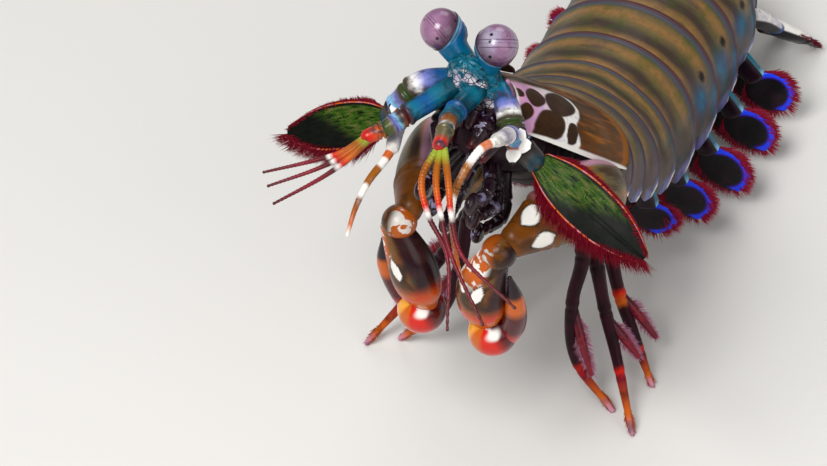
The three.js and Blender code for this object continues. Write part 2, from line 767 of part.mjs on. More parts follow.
Object.entries(ANTENNULES).forEach(([side, { peduncle, flagella }]) => {
  settle(`antennule_${side}`, joined([
    headLimb(peduncle, ANTENNULE_WIDE.peduncle, { steps: 6 }),
    ...flagella.map((line) => headLimb(line, ANTENNULE_WIDE.flagellum, { sides: 4, steps: 7 })),
  ]), PAINT.antennule);
});

// Antennal scales

Object.entries(SCALES).forEach(([side, { root, tip }]) => {
  const blade = {
    through: [headPlace(root), headPlace(tip)],
    wide: SCALE_WIDE,
    facing: HEAD_WAYS.ahead,
  };
  settle(`antenna_scale_${side}`, joined([
    limb({ ...blade, deep: SCALE_DEEP, steps: 8 }),
    ...fringe({ ...blade, ...SCALE_FRINGE }),
  ]), PAINT.scale);
});

// Raptorial claws

Object.entries(sideOf).forEach(([name, side]) => {
  const spread = CLAW_SPREAD[name];
  const shifted = (steps, share) => [steps[0], steps[1] + spread * share, steps[2]];
  const place = (share) => (steps) => headPlace(sided(shifted(steps, share), side));
  const facing = HEAD_WAYS.up;
  settle(`raptorial_merus_${name}`, joined([
    limb({ through: CLAW.hip.map(place(0)), wide: CLAW_WIDE.hip, facing, steps: 4 }),
    limb({
      through: CLAW.merus.map(place(0)),
      wide: CLAW_WIDE.merus,
      deep: CLAW_DEEP.merus,
      facing,
      sides: 9,
      steps: 7,
    }),
  ]), PAINT.merus);
  settle(`raptorial_palm_${name}`, joined([
    ball(place(0.6)(CLAW.knuckle), KNUCKLE_RADII, HEAD_WAYS.left, 7, 5),
    limb({
      through: CLAW.palm.map(place(1)),
      wide: CLAW_WIDE.palm,
      deep: CLAW_DEEP.palm,
      facing,
      sides: 8,
      steps: 5,
    }),
  ]), PAINT.palm);
  settle(`raptorial_club_${name}`, joined([
    ball(place(1)(CLAW.heel), [HEEL_RADIUS, HEEL_RADIUS, HEEL_RADIUS], HEAD_WAYS.ahead, 9, 6),
    limb({ through: CLAW.finger.map(place(1)), wide: CLAW_WIDE.finger, facing, steps: 6 }),
  ]), PAINT.club);
});

// Small maxillipeds

const HAND_DEPTH = 0.55;

Object.entries(MAXILLIPEDS).forEach(([number, { line, hand }]) => {
  Object.entries(sideOf).forEach(([name, side]) => {
    const through = line.map((steps) => headPlace(sided(steps, side)));
    settle(`maxilliped_${number}_${name}`, joined([
      limb({ through, wide: MAXILLIPED_WIDE, facing: HEAD_WAYS.up, sides: 5, steps: 3 }),
      ball(through.at(-1), [hand * HAND_DEPTH, hand, hand], HEAD_WAYS.left, 6, 5),
    ]), PAINT.mouthpart);
  });
});

// Walking legs

Object.entries(LEGS).forEach(([number, { root, line, branch }]) => {
  Object.entries(sideOf).forEach(([name, side]) => {
    const hip = placeAt(root, [0, HIP[0] * side, HIP[1]]);
    const through = [hip, ...line.map((point) => vector(mirrored(point, side)))];
    settle(`leg_${number}_${name}`, joined([
      limb({ through, wide: LEG_WIDE, sides: 6, steps: 9, facing: HEAD_WAYS.ahead }),
      limb({
        through: branch.map((point) => vector(mirrored(point, side))),
        wide: BRANCH_WIDE,
        sides: 5,
        steps: 3,
      }),
    ]), PAINT.leg);
  });
});

// Swimmerets

// How far the blades trail to the rear
const TRAIL = 0.05;

SWIMMERETS.forEach(({ number, at, ...full }) => {
  Object.entries(sideOf).forEach(([name, side]) => {
    const splay = full.splay * SWIMMERET_DRAW[name].splay;
    const reach = full.reach * SWIMMERET_DRAW[name].reach;
    const facing = directionsAt(at).ahead;
    const hang = (angle) => {
      const turn = THREE.MathUtils.degToRad(angle);
      return new THREE.Vector3(Math.sin(turn) * side, TRAIL, -Math.cos(turn));
    };
    const { share: stemShare, sunk, wide, deep } = SWIMMERET_STEM;
    const root = placeAt(at, [0, SWIMMERET_STEM.left * side, SWIMMERET_STEM.up]);
    const knee = root.clone().addScaledVector(hang(splay), reach * stemShare);
    const blades = Object.values(BLADES).flatMap(({ spread, share, count }) => {
      const length = reach * share - BLADE_FRINGE.lower;
      const tip = knee.clone().addScaledVector(hang(splay + spread), length);
      const blade = { through: [knee, tip], wide: BLADE_WIDE, facing };
      return [
        limb({ ...blade, deep: BLADE_DEEP, sides: 6, steps: 4 }),
        ...fringe({ ...blade, ...BLADE_FRINGE, count }),
      ];
    });
    const stem = limb({
      through: [root, knee.clone().addScaledVector(hang(splay), sunk)],
      wide,
      deep,
      facing,
      sides: 6,
      steps: 1,
    });
    settle(`pleopod_${number}_${name}`, joined([stem, ...blades]), PAINT.swimmeret);
  });
});

// Telson

function telson() {
  const rings = TELSON_RINGS.map((share) => {
    const half = TELSON.half * along(TELSON_TAPER, share);
    const back = THREE.MathUtils.lerp(TELSON.back, TELSON.edge, share ** 1.4);
    const belly = THREE.MathUtils.lerp(TELSON.belly, TELSON.edge, share);
    const outline = TELSON_TOP.map(([left, up]) => [left * half, up * back]);
    outline.push([-half * TELSON_FLAT, -belly], [half * TELSON_FLAT, -belly]);
    const station = THREE.MathUtils.lerp(TELSON.from + GAP / 2, TELSON.to, share);
    return outline.map(([left, up]) => placeAt(station, [0, left, up]));
  });
  const teeth = TELSON_TEETH.places.map((share) => {
    const left = TELSON.half * share * TELSON_TEETH.inset;
    const station = TELSON.to - 1 - TELSON_TEETH.round * share ** 2;
    return spike(
      placeAt(station, [1.5, left, 0]),
      placeAt(station, [-TELSON.tooth, left * TELSON_TEETH.splay, 0]),
      TELSON_TEETH.half,
    );
  });
  const keels = TELSON_KEELS.places.map((share) => {
    const left = TELSON.half * share;
    const low = TELSON.back * (1 - Math.abs(share) * 0.75);
    return limb({
      through: [
        placeAt(TELSON.from + 2, [0, left, low - 0.2]),
        placeAt(TELSON.from + 8, [0, left, low * 0.78]),
        placeAt(TELSON.to - 2, [0, left * 0.9, TELSON.edge * 0.9]),
      ],
      wide: TELSON_KEELS.wide,
      deep: TELSON_KEELS.deep,
      facing: directionsAt(TELSON.to).up,
      sides: 4,
      steps: 3,
    });
  });
  return joined([loft(rings), ...teeth, ...keels]);
}

settle('telson', telson(), PAINT.tail);

// Uropods

Object.entries(sideOf).forEach(([name, side]) => {
  const facing = directionsAt(TELSON.to).up;
  const place = (point) => vector(mirrored(point, side));
  const [stem, outer, inner] = ['stem', 'outer', 'inner'].map((part) => (
    { through: UROPOD[part].map(place), wide: UROPOD_WIDE[part], facing }
  ));
  settle(`uropod_${name}`, joined([
    limb({ ...stem, deep: UROPOD_DEEP.stem, sides: 6, steps: 3 }),
    spike(place(UROPOD.fork[0]), place(UROPOD.fork[1]), 1, 5),
    limb({ ...outer, deep: UROPOD_DEEP.blade, sides: 6, steps: 5 }),
    ...fringe({ ...outer, ...FAN_FRINGE, count: 6 }),
  ]), PAINT.fan);
  settle(`uropod_endopod_${name}`, joined([
    limb({ ...inner, deep: UROPOD_DEEP.blade, sides: 6, steps: 5 }),
    ...fringe({ ...inner, ...FAN_FRINGE, count: 5 }),
  ]), PAINT.fan);
});

// The origin is on the floor under the middle of the animal

const reach = new THREE.Box3().setFromObject(animal);
const middle = reach.getCenter(new THREE.Vector3());
animal.position.set(-middle.x, -middle.y, 0);

export default animal;
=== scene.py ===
"""Peacock mantis shrimp, life size, as a Blender add-on that dresses its solid parts.

Tables and shapes are in millimetres and degrees, and the meshes in metres. The head points to
-y, the animal's left is +x and the floor is z = 0. A place on the body is given as steps ahead,
to the left and up from a station on the body axis, which runs from the head (0) to the telson.
"""

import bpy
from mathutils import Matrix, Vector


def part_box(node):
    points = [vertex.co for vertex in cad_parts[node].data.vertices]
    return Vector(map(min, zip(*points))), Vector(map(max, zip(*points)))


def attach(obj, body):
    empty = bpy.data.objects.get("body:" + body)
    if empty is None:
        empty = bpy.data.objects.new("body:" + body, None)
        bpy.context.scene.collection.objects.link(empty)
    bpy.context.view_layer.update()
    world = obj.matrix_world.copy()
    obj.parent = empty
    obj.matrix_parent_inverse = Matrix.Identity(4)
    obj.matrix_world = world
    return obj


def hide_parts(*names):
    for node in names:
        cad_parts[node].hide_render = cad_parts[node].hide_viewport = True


bl_info = {
    "name": "Mantis Shrimp",
    "version": (1, 0, 0),
    "blender": (4, 5, 0),
    "location": "View3D > Sidebar > Mantis Shrimp",
    "description": "Builds a life-size peacock mantis shrimp over its solid parts",
    "category": "Add Mesh",
}

import bmesh
import bpy
import numpy as np
from bpy.props import FloatProperty, FloatVectorProperty, IntProperty, PointerProperty
from mathutils import Matrix, Vector

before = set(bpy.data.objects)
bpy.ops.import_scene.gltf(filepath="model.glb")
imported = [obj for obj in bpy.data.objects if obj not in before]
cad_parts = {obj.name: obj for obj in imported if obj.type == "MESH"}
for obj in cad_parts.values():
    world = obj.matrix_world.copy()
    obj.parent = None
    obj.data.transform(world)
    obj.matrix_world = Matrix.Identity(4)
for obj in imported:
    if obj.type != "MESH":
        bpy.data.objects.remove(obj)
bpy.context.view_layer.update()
MM = 0.001
SIDES = {"left": 1, "right": -1}

# Body axis: its height at one station, and its bends, as a station, the rise of the forward
# direction and its swing to the left
AXIS_STATION = 71
AXIS_HEIGHT = 31
AXIS_STEP = 0.25
AXIS_SPAN = (-20, 150)
BENDS = np.array([
    (0, 59, -8),
    (34, 52, -2.8),
    (52, 24, 0),
    (66, 12, 0),
    (80, 10, 0),
    (100, 12, 0),
    (110, 26, 0),
    (117, 45, 0),
    (128, 58, 0),
])

# Free somites: stations, half width, height of the back, drop of the side plates, belly
SOMITES = {
    "thorax_6": (34, 39.5, 15.9, 8.8, 5.8, 7.6),
    "thorax_7": (39.5, 45.5, 16.4, 9.2, 6.2, 7.6),
    "thorax_8": (45.5, 52, 17, 9.5, 7, 7.6),
    "abdomen_1": (52, 60, 17.5, 9.9, 8.6, 7),
    "abdomen_2": (60, 71, 17.6, 10, 11.6, 6.4),
    "abdomen_3": (71, 83, 17.6, 10, 11.8, 6.4),
    "abdomen_4": (83, 95.5, 17.3, 9.8, 11.4, 6.4),
    "abdomen_5": (95.5, 108.5, 16.5, 9.2, 9, 6.2),
    "abdomen_6": (108.5, 117, 14.2, 8, 5.6, 5.6),
}
CARAPACE = {"from": -4, "to": 34, "half": (7.4, 15.7), "back": (3.8, 8.7), "margin": (4.2, 0.6)}
# Underside: stations, and the half width, top and bottom of the skin there. The folds are stations.
SKIN_HALF = ((-3, 1, 10, 22, 34, 52, 71, 95, 108, 117), (4.4, 6.8, 8.6, 9.4, 11, 14, 15, 14.8, 13, 10))
SKIN_TOP = ((-3, 1, 10, 34, 52, 117), (-1, 1, 1, 5, 6, 4))
SKIN_BOTTOM = ((-3, 1, 10, 22, 34, 52, 60, 71, 108, 117), (9, 9.6, 9.6, 9.4, 8, 7.6, 7, 6.4, 6.2, 5))
SKIN_FOLDS = [0, 6, 12, 18, 24, 29]

HEAD_FRONT = {
    "path": [(-1, 0, 0.4), (3, -1.2, 1), (7, -1.6, 2.4)],
    "wide": (5.2, 5, 4.4, 3.2),
    "deep": (3.4, 3.6, 3.4, 2),
    "slope": 0.25,
}
ROSTRUM = {
    "path": [(-0.6, 0, 5.1), (1.8, 0, 5.5), (4.4, 0, 5.3)],
    "wide": (3.4, 3.7, 3.2, 1.6, 0.3),
    "deep": (0.35, 0.4, 0.4, 0.35, 0.25),
}
TELSON = {"from": 117, "to": 136.5, "half": 12, "back": 4.6, "belly": 3, "edge": 1, "tooth": 3.6}
TELSON_TAPER = (0.92, 1, 1, 0.9, 0.6)
TELSON_KEELS = (-0.75, -0.4, 0, 0.4, 0.75)
TELSON_TEETH = (-0.82, -0.5, -0.17, 0.17, 0.5, 0.82)
TOOTH_WIDE = (1.2, 0.9, 0.12)

# Eyes: root of the stalk, centre of the cornea and the way it faces, from the head
EYES = {
    "left": {"root": (5, 0.6, 3.4), "centre": (9, 2.9, 6.6), "gaze": (0.69, 0.6, 0.39)},
    "right": {"root": (5, -3.2, 3.4), "centre": (9, -7.3, 6.7), "gaze": (0.78, -0.63, 0.04)},
}
STALK_WIDE = (2.1, 2.3, 2.8, 3)

ANTENNAE = {
    "left": {
        "base": [(2.2, 3.9, 0.8), (3.8, 6.6, -2.4), (3.2, 9, -6), (1.2, 12.6, -8.3)],
        "peduncle": [(3.4, 8.2, -5.4), (8.5, 10, -6.8), (12, 9.9, -8.8)],
        "flagellum": [(11.6, 9.9, -8.7), (14, 8.6, -11.4), (15, 7.5, -19.2), (14, 8.9, -24.9),
                      (12, 13.4, -33.3)],
    },
    "right": {
        "base": [(2.6, -4.8, 0.8), (5.2, -8.8, -1.9), (3.6, -11.8, -5.4), (1.4, -13.8, -7.8)],
        "peduncle": [(2.4, -11.4, -6), (3.6, -11, -9.8), (5, -9.8, -13.4)],
        "flagellum": [(4.8, -9.8, -13.2), (6, -9.9, -16), (8, -10.4, -20.5), (9.4, -10.2, -25.5),
                      (10, -9.6, -30)],
    },
}
ANTENNULES = {
    "left": {
        "peduncle": [(4.6, 0.4, -0.6), (9, 0.1, -5.8), (14, 1.8, -9.1), (18, 3.6, -13.2)],
        "flagella": [
            [(17.6, 3.4, -13), (19, 3.2, -19.4), (19, 6.3, -24.5), (18, 11.2, -29.5), (16, 14.8, -40.4)],
            [(17.6, 3.7, -13), (19.4, 5.6, -18.8), (19.6, 8.5, -23.9), (18.6, 12, -29.3),
             (16, 20.1, -38)],
            [(17.6, 4, -13), (19.4, 7.6, -18.4), (19.4, 10.2, -23.6), (18.4, 13.6, -28.8),
             (16, 24.1, -34)],
        ],
    },
    "right": {
        "peduncle": [(4.6, -3.4, -0.6), (8, -8.4, -8.5), (9, -10, -11.2), (10, -12.3, -13.7)],
        "flagella": [
            [(9.8, -12.1, -13.6), (11, -14.5, -17.9), (12, -17.4, -21.2), (14, -23.9, -26.8)],
            [(9.8, -11.9, -13.7), (11.6, -13.4, -18.4), (13.6, -15.4, -22.6), (16.5, -20.6, -29.6)],
            [(9.8, -12.3, -13.4), (10, -15.6, -17.4), (10.4, -19.4, -20), (11, -27, -24.4)],
        ],
    },
}
# Half widths of the feelers, and their joints as shares of the length
ANTENNULE_WIDE = (1.9, 1.75, 1.6, 1.35, 1.2)
ANTENNULE_JOINTS = (0.34, 0.56, 0.8)
ANTENNULE_WHIP_WIDE = (0.62, 0.55, 0.45, 0.34, 0.22)
ANTENNA_WIDE = {"base": (1.9, 2.1, 1.9), "peduncle": (1.2, 1.35, 1.15),
                "flagellum": (0.8, 0.7, 0.6, 0.45, 0.3)}
ANTENNA_JOINTS = {"base": (0.5, 0.8), "peduncle": (0.5,)}
SCALES = {
    "left": [(0.6, 13.8, -8.4), (-4, 33.8, -17.4)],
    "right": [(0.6, -14.6, -8.8), (-4, -32.7, -14.4)],
}
SCALE_HALF_WIDTHS = (2.2, 3.7, 4.4, 4.5, 4.1, 3, 1.2)
SCALE_HALF_DEPTHS = (0.8, 0.45, 0.45, 0.3)
SCALE_FRINGE = (1.3, 3.8)


# Petals at the antenna's base: how far ahead they start and end, their root's steps to the side
# and up, and each tip's steps from it
PETAL_AHEAD = (4.2, 4.8)
PETAL_WIDE = (0.6, 1.5, 1.4, 0.5)
PETAL_DEEP = (0.3, 0.35, 0.3)
PETAL_ROOT = (9.9, -7.4)
PETALS = ((-2.2, 1.6), (0.6, 2.9), (3.0, 0.6), (0.9, -3))

CLAW = {
    "hip": [(-24, 6.6, -8), (-29, 11, -10.4), (-29.4, 14, -9)],
    "merus": [(-33, 15.6, -6.4), (-25.5, 15.4, -6.8), (-16.5, 13.6, -11), (-9.8, 9.8, -20)],
    "knuckle": (-9.4, 8.1, -22.6),
    "palm": [(-10.2, 7.2, -23.6), (-15.3, 4.8, -27.4), (-19.7, 4.1, -29.9), (-24.3, 3.8, -31.9)],
    "heel": (-27.1, 4.8, -33.1),
    "finger": [(-29.7, 5.6, -33.5), (-24.6, 8.7, -31.1), (-18.3, 10.2, -28.3), (-13.3, 9.9, -25.6)],
}
CLAW_WIDE = {
    "hip": (2.4, 2.6, 2.4),
    "merus": (1.2, 3.3, 4, 4, 3.4, 2.3),
    "palm": (2.6, 3.9, 4.3, 4, 2.5),
    "finger": (2.3, 2.2, 1.6, 0.4),
}
CLAW_DEEP = {"merus": (1.6, 5.6, 6.8, 6.8, 5.2, 2.9), "palm": (2.4, 3.5, 3.9, 3.4, 2.1)}
CLAW_SPREAD = {"left": 0, "right": 4}
HEEL_RADIUS = 4.2
# Painted highlight on the heel of each club: share from pole to pole, turn in degrees, half length and half
# angle
HEEL_HIGHLIGHT = [(0.17, 212, 0.085, 34)]
KNUCKLE_RADII = (3, 3, 3)

# Maxillipeds: points of the arm from the head, and radius of the hand
MAXILLIPEDS = {
    1: ([(-0.5, 2.2, -8.6), (2.5, 3, -10.6), (3.4, 3, -14.2)], 1.2),
    3: ([(-4, 2.6, -9), (-3, 5.2, -14.6), (0, 4.6, -17.8)], 1.9),
    4: ([(-8, 2.8, -9.2), (-8.4, 5, -15.4), (-4.6, 3.8, -19.2)], 1.9),
    5: ([(-13, 3, -9.2), (-14.4, 4.4, -15.8), (-10.4, 3, -20.4)], 1.8),
}
MAXILLIPED_WIDE = (1, 1.1, 0.9)
MAXILLIPED_JOINTS = (0.3, 0.6, 0.85)
HAND_FLATNESS = 0.55


# Lobes before the mouth: steps from the head, half widths and half depths
MOUTH_LOBES = {
    "labrum": ([(1.6, 0.7, -1.8), (3.6, 0.8, -3.4), (3.4, 0.8, -6)], (1.2, 1.5, 0.9), (1.4, 1.5, 1.0)),
    "mandible": ([(0, 2.4, -2.6), (2.6, 3, -5.6), (2.8, 2.2, -9)], (1.5, 1.7, 1), (1.3, 1.4, 0.9)),
    "maxilla": ([(-1.6, 4.6, -2.6), (1.2, 5, -6.4), (1.4, 4, -10.4)], (1.5, 1.8, 1), (1.2, 1.3, 0.9)),
}

# Walking legs: station of the hip, then points of the leg and of its branch
LEGS = {
    1: (37, [(10.8, -39.7, 30), (10.7, -43.5, 22), (12.9, -46.8, 11), (20.7, -47.3, 0.5)],
        [(10.9, -43.6, 20.5), (13.6, -46, 15.5), (16.4, -47.6, 9)]),
    2: (42.5, [(12.7, -37.5, 26), (15.3, -39.9, 19), (19.7, -43.6, 10), (25.8, -50.7, 0.5)],
        [(16.4, -40.6, 16.6), (19.4, -40.8, 13.4), (22.6, -40.8, 9.4)]),
    3: (49, [(13.3, -31.6, 22), (15.7, -33.4, 16), (20.6, -36, 7), (25.1, -39.1, 0.5)],
        [(15.6, -33.4, 16), (19.4, -33.6, 12), (23.2, -33.4, 7)]),
}
LEG_ROOT = (7.4, -6.4)
LEG_WIDE = (1.75, 1.45, 1.2, 1.15, 0.9, 0.45)
LEG_JOINTS = (0.25, 0.53, 0.8)
BRANCH_WIDE = (0.8, 0.8, 0.5)
COMB_HAIR = 1.8
BRUSH_WIDE = (0.7, 0.45)
BRUSH_HAIR = 1.3

# Swimmerets: station, splay from straight down and reach
SWIMMERETS = {1: (57, 15, 19), 2: (67.5, 24, 23), 3: (79, 33, 25), 4: (91.5, 38, 24), 5: (104, 43, 22)}
# Shares of the splay and the reach on each side
SWIMMERET_DRAW = {"left": (1, 1), "right": (0.78, 0.9)}
SWIMMERET_ROOT = (11.5, -6.2)
SWIMMERET_TRAIL = 0.05
STEM_SHARE = 0.44
STEM_SUNK = 0.6
STEM_WIDE = (2.6, 2.3)
STEM_DEEP = (1.4, 1.1)
# Blades: turn from the stem's line, share of the reach, and how far each hangs behind
BLADES = {"outer": (3, 0.56, 0), "inner": (-30, 0.48, 0.9)}
BLADE_HALF_WIDTHS = (1.5, 3.5, 4.5, 4.8, 4.6, 3.7, 1.2)
BLADE_HALF_DEPTHS = (0.9, 0.5, 0.5, 0.3)
BLADE_FRINGE = 2.6

UROPOD = {
    "stem": [(11.5, 38.5, 18), (14.2, 43.2, 14), (16.6, 46.6, 9.6)],
    "fork": [(14.8, 45.4, 9.6), (18.4, 51.6, 3.2)],
    "outer": [(17, 47, 9.2), (21, 50.6, 4.8), (24.2, 53.6, 0.9)],
    "inner": [(14.4, 45.6, 11), (15.6, 51.4, 5.4), (16.6, 55.2, 1)],
}
UROPOD_WIDE = {
    "stem": (2.6, 3.1, 2.6), "fork": (1.0, 0.8, 0.12), "outer": (1.8, 2.6, 2.8, 2.2, 1),
    "inner": (1, 1.8, 2, 1.6, 0.8),
}
UROPOD_DEEP = {"stem": (2, 1.9, 1.4), "outer": (1.7, 1.6, 1.2, 0.6, 0.4), "inner": (0.8, 0.7, 0.5)}
UROPOD_FRINGE = {"outer": (1.6, 2.6, 2.8, 2.2, 1), "inner": (1, 1.8, 2, 1.6, 0.8)}
UROPOD_HAIR = 1.5

# Photograph: size of its frame, place of the axis at AXIS_STATION in it, and focal length
PHOTO_PIXELS = (827, 466)
ANCHOR_PIXEL = (609.4, 83.0)
FOCAL_PIXELS = 3300
CAMERA_AZIMUTH = 23.8
CAMERA_ELEVATION = 48.5
CAMERA_DISTANCE = 600
SENSOR_MM = 36
# Stage, in metres and watts: each lamp's place, size and power
FLOOR_SIZE = 4
WORLD_LIGHT = 0.28
LAMPS = {
    "key": ((-0.1, -0.38, 0.62), 0.3, 4.3),
    "fill": ((0.5, -0.25, 0.35), 0.5, 1.2),
    "rim": ((-0.1, 0.5, 0.5), 0.35, 0.9),
}


def linear(code):
    """Scene-linear red, green and blue of a hex colour as a screen shows it."""
    shown = np.array([int(code[k:k + 2], 16) for k in (1, 3, 5)]) / 255
    return tuple(np.where(shown <= 0.04045, shown / 12.92, ((shown + 0.055) / 1.055) ** 2.4))


PALETTE = {
    "olive": ("#625835", "Ground colour of the back plates"),
    "gold": ("#8a673a", "Light bands of the back plates"),
    "umber": ("#40342b", "Dark bands of the back plates"),
    "plum_grey": ("#4d3c44", "Plum bands of the back plates"),
    "slate": ("#3f6070", "Blue sheen before the rear edges"),
    "steel": ("#2c4a6c", "Blue patches of the flanks"),
    "rear_line": ("#5e181c", "Line on the rear edges of the plates"),
    "brown": ("#452b12", "Back of the carapace"),
    "rust": ("#74400f", "Orange streaks of the carapace"),
    "cell": ("#301c0b", "Dark cells of the carapace"),
    "net_pink": ("#cf94b2", "Front of the net on the carapace"),
    "net_white": ("#f0ece6", "Rear of the net on the carapace"),
    "teal": ("#086a82", "Front of the head"),
    "deep_teal": ("#062f3c", "Dark patches of the head"),
    "blue": ("#0a4f8e", "Eye cups and antennule bases"),
    "pale_blue": ("#7fbfe0", "Rims on blue parts"),
    "lavender": ("#787cc0", "Antenna bases and plate ends"),
    "silver": ("#a9a0b6", "Highlights of the mouthparts"),
    "mauve": ("#8a5f82", "Corneas"),
    "pink": ("#a87f9c", "Light parts of the corneas"),
    "dark_mauve": ("#3c1e34", "Rims and midband of the corneas"),
    "orange": ("#c45c12", "Orange bands"),
    "amber": ("#985709", "Amber bands"),
    # Painted light: the lighter yellow on the lit side of the clubs
    "yellow": ("#f0a83a", "Light side of the clubs"),
    "red": ("#cc1d0a", "Red of clubs and joints"),
    "crimson": ("#7c0820", "Fringes and lower legs"),
    "dark_red": ("#4c0a12", "Feeler ends"),
    "white": ("#f2efe8", "White marks"),
    "black": ("#060507", "Black marks"),
    "plum": ("#210c18", "Mouthparts, swimmerets and upper legs"),
    "maroon": ("#2c0915", "Upper legs"),
    "rose": ("#a3243f", "Tips of the swimmerets' fringes"),
    "violet": ("#3415a0", "Inner rim of the swimmerets"),
    "ultramarine": ("#1c40f2", "Rim of the swimmerets"),
    "leaf": ("#294a0a", "Green of the antennal scales"),
    "lime": ("#97a834", "Specks of the antennal scales"),
    "skin": ("#2c1a22", "Soft underside"),
    "floor": ("#dedcd8", "Floor"),
}


class MantisColours(bpy.types.PropertyGroup):
    """Colours of the animal, filled from the palette."""


for colour_name, (colour_code, colour_use) in PALETTE.items():
    MantisColours.__annotations__ = {
        **getattr(MantisColours, "__annotations__", {}),
        colour_name: FloatVectorProperty(
            name=colour_name.replace("_", " ").capitalize(),
            description=colour_use,
            subtype="COLOR",
            min=0,
            max=1,
            default=linear(colour_code),
        ),
    }


class MantisSizes(bpy.types.PropertyGroup):
    """Sizes that a user would change."""

    eye_radius: FloatProperty(
        name="Eye radius", description="Radius of each cornea", default=0.00345, unit="LENGTH")
    shell_thickness: FloatProperty(
        name="Shell thickness", description="Thickness of the back plates", default=0.0005, unit="LENGTH")
    seta_radius: FloatProperty(
        name="Seta radius", description="Radius of a fringe hair at its root", default=0.00007,
        unit="LENGTH")
    seta_spacing: FloatProperty(
        name="Seta spacing", description="Distance between fringe hairs", default=0.00016, unit="LENGTH")
    fringe_layers: IntProperty(
        name="Fringe layers", description="Rows of hairs in each fringe", default=3, min=1)


def sizes():
    return bpy.context.scene.mantis_sizes


def paint(name):
    """Colour of the palette with full alpha, as the user has set it."""
    return (*getattr(bpy.context.scene.mantis_colours, name), 1)


# Numbers and directions, as whole arrays

def smooth(value, low, high):
    """Runs from 0 at low to 1 at high with level ends."""
    share = np.clip((value - low) / (high - low), 0, 1)
    return share * share * (3 - 2 * share)


def bump(value, centre, width):
    """A bell of height 1."""
    return np.exp(-(((value - centre) / width) ** 2))


def unit(vectors):
    return vectors / np.linalg.norm(vectors, axis=-1, keepdims=True)


def curve(points, shares):
    """Places on a centripetal Catmull-Rom line through points, each stretch an equal share.

    Rows of numbers of any width can be read this way.
    """
    points = np.asarray(points, float)
    if points.ndim == 1:
        return curve(points[:, None], shares)[:, 0]
    if len(points) == 2:
        return points[0] + np.asarray(shares)[:, None] * (points[1] - points[0])
    line = np.vstack([2 * points[0] - points[1], points, 2 * points[-1] - points[-2]])
    place = np.clip(np.asarray(shares), 0, 1) * (len(points) - 1)
    index = np.minimum(place.astype(int), len(points) - 2)
    rest = (place - index)[:, None]
    a, b, c, d = (line[index + k] for k in range(4))
    if points.shape[1] == 3:
        before, middle, after = (
            np.maximum(np.linalg.norm(q - p, axis=1, keepdims=True) ** 0.5, 1e-4)
            for p, q in ((a, b), (b, c), (c, d))
        )
    else:
        before = middle = after = 1
    leave = ((b - a) / before - (c - a) / (before + middle) + (c - b) / middle) * middle
    arrive = ((c - b) / middle - (d - b) / (middle + after) + (d - c) / after) * middle
    return (b + leave * rest + (3 * (c - b) - 2 * leave - arrive) * rest ** 2
            + (2 * (b - c) + leave + arrive) * rest ** 3)


def directions(station):
    """Directions ahead, left and up of the body at each station."""
    station = np.asarray(station, float)
    rise = np.radians(np.interp(station, BENDS[:, 0], BENDS[:, 1]))[..., None]
    swing = np.radians(np.interp(station, BENDS[:, 0], BENDS[:, 2]))[..., None]
    across = np.array([1.0, 0, 0])
    level = np.concatenate([0 * rise, -np.cos(rise), np.sin(rise)], axis=-1)
    up = np.concatenate([0 * rise, np.sin(rise), np.cos(rise)], axis=-1)
    ahead = level * np.cos(swing) + across * np.sin(swing)
    left = across * np.cos(swing) - level * np.sin(swing)
    return ahead, left, up


def lay_axis():
    """Stations and points of the axis, stepped from AXIS_STATION both ways."""
    stations = np.arange(AXIS_SPAN[0], AXIS_SPAN[1] + AXIS_STEP / 2, AXIS_STEP)
    ahead = directions(stations[:-1] + AXIS_STEP / 2)[0]
    points = np.vstack([np.zeros(3), np.cumsum(-AXIS_STEP * ahead, axis=0)])
    start = int((AXIS_STATION - AXIS_SPAN[0]) / AXIS_STEP)
    return stations, points - points[start] + [0, 0, AXIS_HEIGHT]


AXIS_STATIONS, AXIS_POINTS = lay_axis()


def axis_at(station):
    return np.stack([np.interp(station, AXIS_STATIONS, AXIS_POINTS[:, k]) for k in range(3)], axis=-1)


def place(station, ahead, left, up):
    """Points given by steps from stations; the four are arrays of one shape or numbers."""
    station, ahead, left, up = np.broadcast_arrays(station, ahead, left, up)
    ways = directions(station)
    steps = (ahead, left, up)
    return axis_at(station) + sum(way * step[..., None] for way, step in zip(ways, steps))


def head_place(steps, side=1, spread=0.0):
    """Points given by steps from the head, turned to the given side."""
    steps = np.asarray(steps, float)
    return place(0.0, steps[..., 0], (steps[..., 1] + spread) * side, steps[..., 2])


def mirrored(points, side):
    return np.asarray(points, float) * [side, 1, 1]


HEAD_AHEAD, HEAD_LEFT, HEAD_UP = directions(0.0)


def frame_shift():
    """Step from the axis's own frame to the part's, read off one somite's box."""
    first, last, half, back, sides, _ = SOMITES["abdomen_2"]
    angle = np.linspace(0, np.pi, 61)
    rings = place(
        np.array([[first], [last]]), 0,
        half * np.cos(angle),
        (back + sides) * np.sin(angle).clip(0) ** 0.75 - sides,
    )
    low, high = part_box("abdomen_2")
    found = (np.array(low) + np.array(high)) / 2 / MM
    built = (rings.reshape(-1, 3).min(0) + rings.reshape(-1, 3).max(0)) / 2
    return np.array([found[0] - built[0], found[1] - built[1], 0])


SHIFT = frame_shift()


# Surfaces

def sheet(points, round_rows=False, round_columns=False, **fields):
    """A grid of points with its quads. Rows run along the form and columns round it."""
    rows, columns = points.shape[:2]
    row = np.arange(rows if round_rows else rows - 1)[:, None]
    column = np.arange(columns if round_columns else columns - 1)[None, :]
    next_row = (row + 1) % rows
    next_column = (column + 1) % columns
    corners = [
        row * columns + column,
        row * columns + next_column,
        next_row * columns + next_column,
        next_row * columns + column,
    ]
    faces = np.stack(np.broadcast_arrays(*corners), axis=-1).reshape(-1, 4)
    flat = points.reshape(-1, 3)
    a, b, c, d = (flat[faces[:, k]] for k in range(4))
    volume = np.sum(a * np.cross(b, c)) + np.sum(a * np.cross(c, d))
    if volume < 0:
        faces = faces[:, ::-1]
    values = {name: np.broadcast_to(value, (rows, columns)).ravel() for name, value in fields.items()}
    return {"points": flat, "faces": faces, "fields": values}


